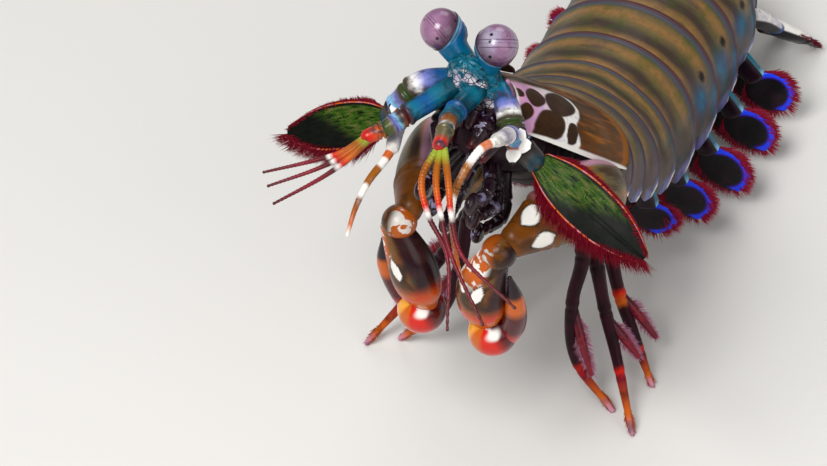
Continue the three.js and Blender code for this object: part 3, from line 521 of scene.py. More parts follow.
def piece(name, sheets, material, replaces=(), body="root"):
    """One object made of closed sheets, with their fields as attributes, riding on the body."""
    offsets = np.cumsum([0] + [len(part["points"]) for part in sheets[:-1]])
    points = (np.concatenate([part["points"] for part in sheets]) + SHIFT) * MM
    faces = np.concatenate([part["faces"] + offset for part, offset in zip(sheets, offsets)])
    mesh = bpy.data.meshes.new(name)
    mesh.from_pydata(points.tolist(), [], faces.tolist())
    for field in sorted(set().union(*(part["fields"] for part in sheets))):
        values = np.concatenate([
            part["fields"].get(field, np.zeros(len(part["points"]))) for part in sheets
        ])
        attribute = mesh.attributes.new(field, "FLOAT", "POINT")
        attribute.data.foreach_set("value", values.astype(np.float32))
    work = bmesh.new()
    work.from_mesh(mesh)
    bmesh.ops.remove_doubles(work, verts=work.verts, dist=1e-7)
    bmesh.ops.dissolve_degenerate(work, edges=work.edges, dist=1e-8)
    work.to_mesh(mesh)
    work.free()
    mesh.polygons.foreach_set("use_smooth", np.ones(len(mesh.polygons), bool))
    return mount(name, mesh, material, replaces, body)


def mount(name, mesh, material, replaces=(), body="root"):
    mesh.materials.append(material)
    thing = bpy.data.objects.new(name, mesh)
    bpy.context.scene.collection.objects.link(thing)
    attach(thing, body)
    if replaces:
        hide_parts(*replaces)
    return thing


def heading(through, share):
    """Unit direction of a curve at shares of its length."""
    ahead = curve(through, np.clip(share + 1e-3, 0, 1))
    behind = curve(through, np.clip(share - 1e-3, 0, 1))
    return unit(ahead - behind)


CAP_ROWS = np.radians([90, 72, 54, 36, 18])


def limb(through, wide, deep=None, facing=(0, 0, 1), around=24, along=40, joints=(),
         pinch=0.2, flare=0.1, knot=0.02, lift=None, **fields):
    """Closed tube of oval sections along a line, rounded off at both ends.

    wide and deep are half widths at equal steps, across and along facing. At each joint the
    tube flares and then draws in. lift(along,
                                        angle) adds height to the surface. Fields: along from 0 to 1,
                                        side and face, which are the cosine and
    sine of the angle round the tube.
    """
    share = np.linspace(0, 1, along)
    centre = curve(through, share)
    tangent = heading(through, share)
    half_wide = curve(wide, share)
    half_deep = curve(wide if deep is None else deep, share)
    swell = 1 + sum(
        flare * bump(share, joint - 1.4 * knot, knot)
        + flare * 0.5 * bump(share, joint + 1.4 * knot, knot)
        - pinch * bump(share, joint, knot * 0.6)
        for joint in joints
    )
    half_wide, half_deep = half_wide * swell, half_deep * swell
    cap = np.minimum(half_wide, half_deep)
    starts = [(0, -np.sin(turn), np.cos(turn)) for turn in CAP_ROWS]
    ends = [(-1, np.sin(turn), np.cos(turn)) for turn in CAP_ROWS[::-1]]

    def capped(rows, scale=False, slide=None):
        """The same rows with the rows of both caps added."""
        def end(index, step, size):
            row = rows[index] * (size if scale else 1)
            return row if slide is None else row + slide[index] * step * cap[index]
        return np.array([end(*s) for s in starts] + list(rows) + [end(*e) for e in ends])

    line = capped(centre, slide=tangent)
    ways = capped(tangent)
    half_wide, half_deep = capped(half_wide, True), capped(half_deep, True)
    share = capped(share)
    across = unit(np.cross(ways, np.asarray(facing, float)))
    outward = np.cross(across, ways)
    angle = np.linspace(0, 2 * np.pi, around, endpoint=False)
    cosine, sine = np.cos(angle), np.sin(angle)
    if lift is not None:
        height = lift(share[:, None], angle[None, :]) * (half_wide > 1e-9)[:, None]
    else:
        height = 0
    points = (
        line[:, None]
        + across[:, None] * ((half_wide[:, None] + height) * cosine)[..., None]
        + outward[:, None] * ((half_deep[:, None] + height) * sine)[..., None]
    )
    named = {key: value(share[:, None], angle[None, :]) for key, value in fields.items()}
    return sheet(points, round_columns=True, along=share[:, None], side=cosine, face=sine, **named)


def ball(centre, radii, axis, facing, rows=40, columns=48, trim=(0, 180), **fields):
    """Closed ball with its pole on axis, from one polar angle to another in degrees.

    Fields: along, the share of the way from pole to pole, side and face as on a limb.
    """
    polar = np.radians(np.linspace(*trim, rows))
    polar = np.concatenate([polar[:1] * 0, polar, polar[-1:] * 0 + np.pi]) if trim != (0, 180) else polar
    axis = unit(np.asarray(axis, float))
    across = unit(np.cross(axis, facing))
    outward = np.cross(across, axis)
    angle = np.linspace(0, 2 * np.pi, columns, endpoint=False)
    cosine, sine = np.cos(angle), np.sin(angle)
    reach = np.sin(polar)
    points = (
        np.asarray(centre)
        + axis * (radii[0] * np.cos(polar))[:, None, None]
        + across * (radii[1] * reach[:, None] * cosine)[..., None]
        + outward * (radii[2] * reach[:, None] * sine)[..., None]
    )
    named = {key: value(polar[:, None], angle[None, :]) for key, value in fields.items()}
    return sheet(points, round_columns=True, along=(polar / np.pi)[:, None], side=cosine, face=sine,
                 **named)


def leaf_spots(along, angle, spots, softness=0.18):
    """1 inside any of the leaves on a tube, each (along, angle in degrees, half length, half angle).

    A leaf is where the square of the share of its half length and the share of its half angle
    add to less than 1.
    """
    inside = np.zeros(np.broadcast_shapes(along.shape, angle.shape))
    for at, turn, half_length, half_angle in spots:
        gap = (np.degrees(angle) - turn + 180) % 360 - 180
        reach = ((along - at) / half_length) ** 2 + np.abs(gap / half_angle)
        inside = np.maximum(inside, 1 - smooth(reach, 1 - softness, 1 + softness))
    return inside


# Setae

def setae(name, roots, ways, lengths, facings, patches, material, slot, radius_scale=1.0, sag=0.12):
    """Fine tapered hairs with three sides, each bent a little towards its facing.

    roots, ways, facings: one row a hair. patches: each hair's place on the skin's unwrap.
    """
    radius = sizes().seta_radius / MM * radius_scale
    count = len(roots)
    step = np.array([0, 0.35, 0.7, 1])
    width = np.array([1, 0.85, 0.55, 0.06])
    ways = unit(ways)
    across = unit(np.cross(ways, facings))
    other = np.cross(across, ways)
    bent = sag * step ** 2
    line = (
        roots[:, None]
        + ways[:, None] * (lengths[:, None] * step)[..., None]
        + facings[:, None] * (lengths[:, None] * bent)[..., None]
    )
    turn = np.radians([90, 210, 330])
    ring = across[:, None] * np.cos(turn)[:, None] + other[:, None] * np.sin(turn)[:, None]
    points = line[:, :, None] + ring[:, None] * (radius * width)[None, :, None, None]
    layers = len(step)
    corner = np.arange(3)
    quads = []
    for layer in range(layers - 1):
        low, high = layer * 3, layer * 3 + 3
        after = (corner + 1) % 3
        quads.append(np.stack([low + corner, high + corner, high + after, low + after], axis=1))
    quads = np.concatenate(quads)
    ends = np.array([[0, 1, 2], [3 * layers - 1, 3 * layers - 2, 3 * layers - 3]])
    first = (np.arange(count) * layers * 3)[:, None, None]
    quads = (quads[None] + first).reshape(-1, 4)
    ends = (ends[None] + first).reshape(-1, 3)
    mesh = bpy.data.meshes.new(name)
    flat = (points.reshape(-1, 3) + SHIFT) * MM
    mesh.from_pydata(flat.tolist(), [], quads.tolist() + ends.tolist())
    along = np.broadcast_to(step[None, :, None], (count, layers, 3)).ravel()
    attribute = mesh.attributes.new("along", "FLOAT", "POINT")
    attribute.data.foreach_set("value", along.astype(np.float32))
    tint = np.random.default_rng(len(name)).random(count)
    attribute = mesh.attributes.new("tint", "FLOAT", "POINT")
    attribute.data.foreach_set("value", np.repeat(tint, layers * 3).astype(np.float32))
    spot = np.array([[0, 0], [0.5, 0], [1, 0]]) * PATCH
    rise = np.stack([0 * step, step * PATCH], axis=1)
    layout = (patches[:, None, None] + rise[None, :, None] + spot[None, None]).reshape(-1, 2)
    chart = mesh.uv_layers.new(name="OFBake")
    corners = np.empty(len(mesh.loops), np.int32)
    mesh.loops.foreach_get("vertex_index", corners)
    chart.data.foreach_set("uv", layout[corners].ravel().astype(np.float32))
    mesh.polygons.foreach_set("use_smooth", np.ones(len(mesh.polygons), bool))
    return mount(name, mesh, material)


PATCH = 0.003
SUNK = 0.15


def edge_hairs(through, wide, facing, since, upper, lower, rng, chart, lean=62, density=1.0):
    """Roots, ways, lengths, facings and patches of the hairs round a blade's edge.

    The hairs start at a share of the blade's length, run round its tip and lean towards it.
    chart is the corner and size of the blade's own place on the unwrap.
    """
    facing = np.asarray(facing, float)
    spacing = sizes().seta_spacing / MM
    length = np.linalg.norm(np.diff(curve(through, np.linspace(0, 1, 30)), axis=0), axis=1).sum()
    count = int(2 * length * (1 - since) / spacing * sizes().fringe_layers * density)
    turn = np.sort(rng.uniform(-1, 1, count))
    share = 1 - np.abs(turn) * (1 - since)
    centre = curve(through, share)
    tangent = heading(through, share)
    across = unit(np.cross(tangent, facing)) * np.sign(turn)[:, None]
    angle = np.radians(lean * np.abs(turn) ** 0.45 + rng.normal(0, 7, count))
    outward = tangent * np.cos(angle)[:, None] + across * np.sin(angle)[:, None]
    edge = centre + across * (curve(wide, share) * np.abs(turn) ** 0.25)[:, None]
    layer = rng.normal(0, 0.14, count)
    roots = edge - outward * SUNK * rng.uniform(1, 3, count)[:, None] + facing * layer[:, None] * 0.8
    ways = outward + facing * layer[:, None]
    reach = np.where(across[:, 2] > 0, upper, lower) * rng.uniform(0.7, 1.12, count)
    reach *= 0.35 + 0.65 * smooth(share, since, since + 0.12)
    corner, size = chart
    patches = np.stack([corner[0] + size * share, corner[1] + size * (0.5 + 0.45 * turn)], axis=1)
    return roots, ways, reach, np.broadcast_to(facing, roots.shape), patches


def gather(batches):
    """Joins the arrays of several batches of hairs."""
    return [np.concatenate(column) for column in zip(*batches)]


def above_floor(hairs):
    """The same hairs, those that point down shortened to end above the floor."""
    roots, ways, reach, facings, patches = hairs
    drop = -unit(ways)[:, 2]
    room = (roots[:, 2] - 0.1).clip(0.05) / drop.clip(0.05)
    return roots, ways, np.where(drop > 0, np.minimum(reach, room), reach), facings, patches


# Materials

def value_group(name, inputs, outputs):
    """An empty node group with named sockets, each (name, kind, default)."""
    group = bpy.data.node_groups.new(name, "ShaderNodeTree")
    for label, kind, default in inputs:
        socket = group.interface.new_socket(label, in_out="INPUT", socket_type=f"NodeSocket{kind}")
        socket.default_value = default
    for label, kind in outputs:
        group.interface.new_socket(label, in_out="OUTPUT", socket_type=f"NodeSocket{kind}")
    return group


class Tree:
    """Short calls that add nodes to a tree and join them; each gives back an output socket."""

    def __init__(self, tree):
        self.tree = tree

    def set(self, socket, value):
        if isinstance(value, bpy.types.NodeSocket):
            self.tree.links.new(value, socket)
        elif value is not None:
            socket.default_value = value

    def add(self, kind, **settings):
        node = self.tree.nodes.new(f"ShaderNode{kind}")
        for key, setting in settings.items():
            setattr(node, key, setting)
        return node

    def field(self, name):
        return self.add("Attribute", attribute_name=name).outputs["Fac"]

    def spot(self, scale=(1, 1, 1)):
        """Object coordinates, stretched."""
        mapping = self.add("Mapping")
        mapping.inputs["Scale"].default_value = scale
        self.set(mapping.inputs["Vector"], self.add("TexCoord").outputs["Object"])
        return mapping.outputs["Vector"]

    def pair(self, x, y, z=0.0):
        node = self.add("CombineXYZ")
        for socket, value in zip(node.inputs, (x, y, z)):
            self.set(socket, value)
        return node.outputs[0]

    def noise(self, scale, detail=3.0, vector=None, rough=0.55, warp=0.0):
        node = self.add("TexNoise")
        self.set(node.inputs["Vector"], vector or self.spot())
        self.set(node.inputs["Scale"], scale)
        node.inputs["Detail"].default_value = detail
        node.inputs["Roughness"].default_value = rough
        node.inputs["Distortion"].default_value = warp
        return node.outputs["Fac"]

    def cells(self, scale, vector=None, feature="F1"):
        node = self.add("TexVoronoi", feature=feature)
        self.set(node.inputs["Vector"], vector or self.spot())
        node.inputs["Scale"].default_value = scale
        return node.outputs["Distance"]

    def math(self, operation, a, b=None, clamp=False):
        node = self.add("Math", operation=operation, use_clamp=clamp)
        self.set(node.inputs[0], a)
        if b is not None:
            self.set(node.inputs[1], b)
        return node.outputs[0]

    def span(self, value, low, high):
        """Smooth step of a value from low to high."""
        node = self.add("MapRange", interpolation_type="SMOOTHSTEP")
        self.set(node.inputs["Value"], value)
        node.inputs["From Min"].default_value = low
        node.inputs["From Max"].default_value = high
        return node.outputs["Result"]

    def times(self, a, b):
        return self.math("MULTIPLY", a, b)

    def over(self, name, low, high):
        """Share of the way that a field has come from low to high."""
        return self.span(self.field(name), low, high)

    def band(self, value, centre, width):
        """1 where the value is within a width of the centre, with soft sides."""
        gap = self.math("ABSOLUTE", self.math("SUBTRACT", value, centre))
        return self.math("SUBTRACT", 1.0, self.span(gap, width * 0.6, width * 1.4))

    def ramp(self, factor, stops, ease="LINEAR"):
        node = self.add("ValToRGB")
        self.set(node.inputs[0], factor)
        line = node.color_ramp
        line.interpolation = ease
        while len(line.elements) < len(stops):
            line.elements.new(1.0)
        for element, (at, colour) in zip(line.elements, stops):
            element.position = at
            element.color = paint(colour) if isinstance(colour, str) else (colour, colour, colour, 1)
        return node.outputs["Color"]

    def blend(self, factor, a, b, mode="MIX"):
        node = self.add("Mix", data_type="RGBA", blend_type=mode)
        self.set(node.inputs["Factor"], factor)
        self.set(node.inputs[6], paint(a) if isinstance(a, str) else a)
        self.set(node.inputs[7], paint(b) if isinstance(b, str) else b)
        return node.outputs[2]

    def group(self, tree, output, **values):
        node = self.add("Group", node_tree=tree)
        for label, value in values.items():
            self.set(node.inputs[label.replace("_", " ").capitalize()], value)
        return node.outputs[output]


def mottle_group():
    """Breaks a colour up with patches of a second one."""
    group = value_group(
        "Mottling",
        [("Colour", "Color", (1, 1, 1, 1)), ("Other", "Color", (0, 0, 0, 1)),
         ("Scale", "Float", 400.0), ("Share", "Float", 0.5)],
        [("Colour", "Color")],
    )
    tree = Tree(group)
    start = group.nodes.new("NodeGroupInput")
    end = group.nodes.new("NodeGroupOutput")
    patches = tree.noise(start.outputs["Scale"], 4.0, warp=0.6)
    mask = tree.math("MULTIPLY", tree.span(patches, 0.42, 0.68), start.outputs["Share"])
    mixed = tree.blend(mask, start.outputs["Colour"], start.outputs["Other"])
    group.links.new(mixed, end.inputs["Colour"])
    return group


def grain_group():
    """Fine pits of a shell, as a normal."""
    group = value_group(
        "Shell grain",
        [("Scale", "Float", 3000.0), ("Depth", "Float", 0.1)],
        [("Normal", "Vector")],
    )
    tree = Tree(group)
    start = group.nodes.new("NodeGroupInput")
    end = group.nodes.new("NodeGroupOutput")
    height = tree.noise(start.outputs["Scale"], 5.0, rough=0.6)
    relief = tree.add("Bump")
    relief.inputs["Distance"].default_value = 0.0002
    group.links.new(start.outputs["Depth"], relief.inputs["Strength"])
    group.links.new(height, relief.inputs["Height"])
    group.links.new(relief.outputs["Normal"], end.inputs["Normal"])
    return group


def wet_group():
    """Roughness that varies in patches, as on a wet shell."""
    group = value_group(
        "Wet sheen",
        [("Smooth", "Float", 0.2), ("Dull", "Float", 0.45), ("Scale", "Float", 150.0)],
        [("Roughness", "Float")],
    )
    tree = Tree(group)
    start = group.nodes.new("NodeGroupInput")
    end = group.nodes.new("NodeGroupOutput")
    patches = tree.span(tree.noise(start.outputs["Scale"], 3.0), 0.35, 0.7)
    node = tree.add("Mix")
    tree.set(node.inputs["Factor"], patches)
    tree.set(node.inputs["A"], start.outputs["Smooth"])
    tree.set(node.inputs["B"], start.outputs["Dull"])
    group.links.new(node.outputs["Result"], end.inputs["Roughness"])
    return group


def shared(name, maker):
    """A node group that is built once and then found again by name."""
    return bpy.data.node_groups.get(name) or maker()


class Finish(Tree):
    """A material with a Principled shader, the shared grain and the shared wet sheen."""

    def __init__(self, name, smoothness=(0.2, 0.42), grain=(3000.0, 0.12), coat=0.0, sheen=0.0,
                 shine=0.3):
        self.material = bpy.data.materials.new(name)
        self.material.use_nodes = True
        super().__init__(self.material.node_tree)
        self.shader = self.tree.nodes["Principled BSDF"]
        self.shader.inputs["Coat Weight"].default_value = coat
        self.shader.inputs["Coat Roughness"].default_value = 0.12
        self.shader.inputs["Sheen Weight"].default_value = sheen
        self.shader.inputs["Specular IOR Level"].default_value = shine
        self.set(self.shader.inputs["Roughness"], self.group(
            shared("Wet sheen", wet_group), "Roughness", smooth=smoothness[0], dull=smoothness[1]))
        self.set(self.shader.inputs["Normal"], self.group(
            shared("Shell grain", grain_group), "Normal", scale=grain[0], depth=grain[1]))

    def mottled(self, colour, other, scale, share):
        return self.group(
            shared("Mottling", mottle_group), "Colour",
            colour=paint(colour) if isinstance(colour, str) else colour,
            other=paint(other) if isinstance(other, str) else other,
            scale=scale, share=share)

    def colour(self, value):
        self.set(self.shader.inputs["Base Color"], value)
        return self.material


# Finishes

def plate_finish(name, stops, flank):
    """Soft bands across the back, a blue sheen before the rear edge and a dark red line on it.

    stops are the bands from front to rear. flank is the pair of colours at the lower ends, darker than the
    back partly by their own colour and partly as painted shade.
    """
    made = Finish(name, smoothness=(0.34, 0.54), grain=(2200.0, 0.12), shine=0.13)
    along, around = made.field("along"), made.field("around")
    steady = made.math("SUBTRACT", 1.0, made.span(along, 0.7, 0.86))
    wave = made.noise(1.0, 2.0, vector=made.pair(
        made.times(around, 6.0), made.times(along, 1.0), made.field("row")))
    sway = made.times(made.times(made.math("SUBTRACT", wave, 0.5), 0.3), steady)
    bands = made.ramp(made.math("ADD", along, sway), stops)
    blotch = made.noise(1.0, 3.0, vector=made.pair(
        made.times(around, 7.0), made.times(along, 6.0), made.field("row")))
    lit = made.times(made.times(made.span(blotch, 0.5, 0.75), 0.3), steady)
    bands = made.blend(lit, bands, "gold")
    dark = made.times(made.times(made.span(blotch, 0.5, 0.28), 0.5), steady)
    bands = made.blend(dark, bands, "umber")
    bands = made.mottled(bands, "umber", 1400.0, 0.25)
    hue = made.noise(1.0, 2.0, vector=made.pair(
        made.times(around, 14.0), made.times(along, 2.0), made.field("row")))
    bands = made.blend(made.times(made.span(hue, 0.52, 0.7), 0.28), bands, "plum_grey")
    bands = made.blend(made.times(made.span(hue, 0.46, 0.32), 0.3), bands, "leaf")
    down = made.math("ABSOLUTE", made.math("SUBTRACT", made.times(around, 2.0), 1.0))
    # The lower flanks are blended darker: partly their own colour, partly painted shade
    side = made.mottled(flank[0], flank[1], 260.0, 0.9)
    bands = made.blend(made.times(made.span(down, 0.62, 0.86), 0.9), bands, side)
    bands = made.blend(made.field("patch"), bands, made.mottled("steel", "teal", 260.0, 0.7))
    bands = made.blend(made.field("dot"), bands, "black")
    sheen = made.times(made.band(along, 0.885, 0.026), 0.38)
    bands = made.blend(sheen, bands, "slate")
    bands = made.blend(made.times(made.band(along, 0.935, 0.02), 0.7), bands, "plum_grey")
    bands = made.blend(made.band(along, 0.966, 0.009), bands, "rear_line")
    bands = made.blend(made.span(along, 0.975, 0.985), bands, "umber")
    end = made.times(made.span(down, 0.93, 0.975), made.span(along, 0.2, 0.5))
    bands = made.blend(made.times(end, 0.55), bands, made.mottled("lavender", "steel", 300.0, 1.0))
    tip = made.times(made.span(down, 0.98, 0.992), made.span(along, 0.6, 0.8))
    bands = made.blend(made.times(tip, 0.75), bands, "net_white")
    return made.colour(bands)


def carapace_finish():
    made = Finish("carapace_shell", smoothness=(0.42, 0.62), shine=0.08)
    along, around = made.field("along"), made.field("around")
    streaks = made.noise(1.0, 5.0, vector=made.pair(
        made.times(around, 26.0), made.times(along, 2.6)))
    back = made.ramp(streaks, [(0.36, "cell"), (0.45, "brown"), (0.52, "brown"), (0.58, "rust"),
                               (0.65, "amber"), (0.74, "olive")])
    low = made.math("MINIMUM", around, made.math("SUBTRACT", 1.0, around))
    flame = made.times(made.span(low, 0.32, 0.12), made.span(along, 0.3, 0.62))
    back = made.blend(made.times(flame, 0.3), back, made.mottled("amber", "olive", 300.0, 0.9))
    back = made.blend(made.times(made.band(along, 0.93, 0.035), 0.75), back, "amber")
    back = made.blend(made.times(made.span(along, 0.965, 0.98), 0.85), back, "cell")
    net = made.ramp(along, [(0.12, "net_pink"), (0.3, "net_white")])
    net = made.mottled(net, "lavender", 500.0, 0.35)
    cells = made.mottled("cell", "brown", 420.0, 0.5)
    marked = made.blend(made.field("cell"), net, cells)
    mixed = made.blend(made.field("net"), back, marked)
    mixed = made.blend(made.field("border"), mixed, "net_white")
    mixed = made.blend(made.field("rim"), mixed, "white")
    mixed = made.blend(made.field("seam"), mixed, "black")
    return made.colour(mixed)


def banded_finish(name, stops, mottle=("white", 500.0, 0.25), **options):
    """Bands along a limb from a list of (share, colour)."""
    made = Finish(name, **options)
    wave = made.times(made.math("SUBTRACT", made.noise(350.0, 2.0), 0.5), 0.04)
    bands = made.ramp(made.math("ADD", made.field("along"), wave), stops)
    return made.colour(made.mottled(bands, *mottle))


def seta_finish(name, root, tip):
    made = Finish(name, smoothness=(0.5, 0.7), shine=0.1)
    shade = made.ramp(made.field("along"), [(0.0, root), (1.0, tip)])
    shade = made.blend(made.times(made.field("tint"), 0.35), shade, tip)
    return made.colour(shade)


# Back plates

PLATE = {
    "front": 0.9,      # how far a plate reaches under the one before it
    "rear": 0.45,      # how far it reaches over the next
    "tuck": 0.75,      # how much lower its covered front lies
}


# Keels of the last somite as shares around
LAST_KEELS = (0.2, 0.34, 0.45, 0.55, 0.66, 0.8)

# How far forward the flanks of some rear edges reach
SWEEPS = {"thorax_8": 0.9, "abdomen_1": 1.3}

# Somites with blue patches and a black dot on each flank
PATCHED = ("abdomen_3", "abdomen_4", "abdomen_5", "abdomen_6")


def plate(first, last, half, back, sides, lift=None, sweep=None, thick=None, columns=121, rows=30):
    """Curved plate of shell with rounded edges, arched over the body.

    half, back and sides are functions of the share from front to rear. The section is
    x = half cos t, y = (back + sides) sin(t)^0.75 - sides. lift(share, around) raises the
    outer face and sweep(share, around) slides it ahead. The wall thins to nothing at the
    lower ends.
    """
    thick = sizes().shell_thickness / MM if thick is None else thick
    outer = np.linspace(0, 1, rows)
    lip = np.radians([30, 60, 90, 120, 150])
    inner = np.linspace(1, 0, rows // 2)
    share = np.concatenate([outer, 1 + 0 * lip, inner, 0 * lip])
    depth = np.concatenate([
        0 * outer, (1 - np.cos(lip)) / 2, 1 + 0 * inner, (1 + np.cos(lip)) / 2,
    ])[:, None]
    bulge = np.concatenate([0 * outer, np.sin(lip), 0 * inner, -np.sin(lip)])
    station = first + (last - first) * share + bulge * thick / 2
    around = 0.5 - 0.5 * np.cos(np.linspace(0, np.pi, columns))
    around = 0.35 * around + 0.65 * np.linspace(0, 1, columns)
    angle = (np.pi * around)[None, :]
    wall = thick * np.sqrt(np.clip(1 - np.abs(np.cos(angle)) ** 24, 0, 1))
    height = -depth * wall
    if lift is not None:
        height = height + lift(share[:, None], around[None, :]) * np.minimum(1, np.sin(angle) * 12)
    station = station[:, None] + 0 * angle
    if sweep is not None:
        station = station - sweep(share[:, None], around[None, :])
    wide, tall, low = (value(share)[:, None] for value in (half, back, sides))
    x = (wide + height) * np.cos(angle)
    y = (tall + low + height) * np.sin(angle).clip(0) ** 0.75 - low
    points = place(station, 0, x, y)
    grid = {"along": share[:, None], "around": around[None, :]}
    return points, grid


def somite_lift(name):
    """Relief of a somite: tucked front, gentle crown, bead before the rear edge."""
    def lift(share, around):
        height = -PLATE["tuck"] * (1 - smooth(share, 0.0, 0.16))
        height = height + 0.16 * np.sin(np.pi * np.clip(share, 0, 1))
        height = height + 0.14 * bump(share, 0.95, 0.03)
        height = height - 0.10 * bump(share, 0.88, 0.03)
        if name == "abdomen_6":
            for keel in LAST_KEELS:
                height = height + 0.9 * bump(around, keel, 0.016) * smooth(share, 0.1, 0.5)
        if name.startswith("abdomen"):
            height = height - 0.12 * (bump(around, 0.12, 0.02) + bump(around, 0.88, 0.02))
        return height
    return lift


def build_somites():
    thorax = plate_finish("thorax_shell", [
        (0.0, "olive"), (0.28, "gold"), (0.5, "olive"), (0.72, "plum_grey"), (0.84, "plum_grey"),
        (0.93, "umber")],
        ("plum_grey", "umber"))
    abdomen = plate_finish("abdomen_shell", [
        (0.0, "gold"), (0.18, "gold"), (0.33, "umber"), (0.42, "umber"), (0.54, "olive"),
        (0.66, "gold"), (0.73, "gold"), (0.82, "olive"), (0.88, "plum_grey"), (0.93, "plum_grey")],
        ("umber", "deep_teal"))
    for row, (name, (first, last, half, back, sides, _)) in enumerate(SOMITES.items()):
        forward = SWEEPS.get(name, 0)
        before = SWEEPS.get(list(SOMITES)[row - 1], 0) if row else 0

        def sweep(share, around):
            low = np.minimum(around, 1 - around)
            shape = smooth(low, 0.02, 0.2) * (1 - smooth(low, 0.3, 0.5))
            return shape * (forward * smooth(share, 0, 1) + before * (1 - smooth(share, 0, 1)))

        points, grid = plate(
            first - PLATE["front"], last + PLATE["rear"],
            lambda s: half * (0.965 + 0.035 * smooth(s, 0, 0.8)),
            lambda s: back * (0.965 + 0.035 * smooth(s, 0, 0.8)),
            lambda s: sides * (0.74 + 0.26 * smooth(s, 0, 0.45) - 0.16 * smooth(s, 0.72, 1.0)),
            lift=somite_lift(name), sweep=sweep,
        )
        low = np.minimum(grid["around"], 1 - grid["around"])
        along = grid["along"]
        if name in PATCHED:
            patch = np.maximum(
                bump(along, 0.45, 0.2) * bump(low, 0.12, 0.042),
                bump(along, 0.84, 0.1) * bump(low, 0.078, 0.034),
            ) * 1.3
            dot = 1 - smooth(np.hypot((along - 0.64) / 0.07, (low - 0.18) / 0.018), 0.7, 1.3)
        else:
            patch, dot = 0 * along * low, 0 * along * low
        material = thorax if name.startswith("thorax") else abdomen
        piece(f"{name}_plate", [sheet(
            points, round_rows=True, row=1.7 * row, patch=patch.clip(0, 1), dot=dot, **grid,
        )], material, [name])


# Carapace

# Cells of the net: share along, share around from the left margin, half lengths in
# millimetres along and around, and turn in degrees
CELLS = [
    (-2.4, 0.205, 1.2, 0.9, 10),
    (1.7, 0.21, 2.6, 1.85, 30),
    (-1.0, 0.083, 1.6, 1.5, 40),
    (8.8, 0.222, 4.9, 2.7, 22),
    (5.0, 0.07, 3.4, 2.5, 10),
    (10.5, 0.064, 1.5, 1.9, 0),
]
# Upper edge of the net, its rear edge and the border below it: stations or shares around, and values
NET_TOP = ((-4, 1.5, 8, 12, 16), (0.3, 0.315, 0.318, 0.305, 0.27))
NET_REAR = [(0.0, 13.0), (0.05, 12.6), (0.085, 11.4), (0.12, 11.4), (0.16, 12.8), (0.22, 14.2),
            (0.3, 14.4), (0.5, 15)]
BORDER = ((1, 5, 12, 22, 30, 34), (0.004, 0.01, 0.012, 0.012, 0.008, 0.003))
GIRTH = ((-4, 0, 8, 20, 34), (24, 28, 35, 42, 45))


def carapace_marks(station, around, girth):
    """Net, its cells and the white border, the same on both sides."""
    low = np.minimum(around, 1 - around) + 0 * station
    cell = np.zeros(low.shape)
    for at, up, half_along, half_around, turn in CELLS:
        x, y = station - at, (low - up) * girth
        c, s = np.cos(np.radians(turn)), np.sin(np.radians(turn))
        reach = (np.abs((x * c + y * s) / half_along) ** 2.5 + np.abs((y * c - x * s) / half_around) ** 2.5)
        cell = np.maximum(cell, 1 - smooth(reach, 0.85, 1.15))
    top = np.interp(station, *NET_TOP)
    rear = np.interp(low, *zip(*NET_REAR))
    net = (1 - smooth(low, top - 0.012, top + 0.02)) * (1 - smooth(station, rear - 0.2, rear + 0.4))
    wide = np.interp(station, *BORDER)
    border = (1 - smooth(low, wide - 0.003, wide + 0.003)) * smooth(station, 1, 3)
    return cell, net, border


def build_carapace():
    size = CARAPACE
    length = size["to"] - size["from"]

    def toward(pair, share, power):
        return pair[1] + (pair[0] - pair[1]) * (1 - np.clip(share, 0, 1)) ** power

    def lift(share, around):
        low = np.minimum(around, 1 - around)
        groove = bump(low, 0.36, 0.012) * smooth(share, 0.12, 0.25) * (1 - smooth(share, 0.8, 0.95))
        rim = (0.25 * bump(low, 0.02, 0.016) + 0.2 * bump(share, 0.97, 0.02)
               + 0.25 * bump(share, 0.0, 0.02))
        return rim - 0.22 * groove + 0.1 * np.sin(np.pi * share)

    def sweep(share, around):
        low = np.minimum(around, 1 - around)
        back = 4.0 * (1 - smooth(low, -0.02, 0.13)) + 3.4 * smooth(low, 0.27, 0.42)
        return -back * (1 - np.clip(share, 0, 1)) ** 4

    points, grid = plate(
        size["from"], size["to"] + PLATE["rear"],
        lambda s: toward(size["half"], s, 2.2),
        lambda s: toward(size["back"], s, 1.8),
        lambda s: toward(size["margin"], s, 1),
        lift=lift, sweep=sweep, rows=170, columns=301,
    )
    station = size["from"] + length * grid["along"] - sweep(grid["along"], grid["around"])
    girth = np.interp(station, *GIRTH)
    cell, net, border = carapace_marks(station, grid["around"], girth)
    low = np.minimum(grid["around"], 1 - grid["around"])
    side = smooth(low, 0.0, 0.01) * (1 - smooth(low, 0.24, 0.3))
    rim = bump(grid["along"], 0.022, 0.008) * side
    seam = bump(grid["along"], 0.004, 0.008) * side
    shield = sheet(points, round_rows=True, cell=cell, net=net, border=border, rim=rim, seam=seam, **grid)
    piece("carapace_shield", [shield], carapace_finish(), ["carapace"])


# Soft underside

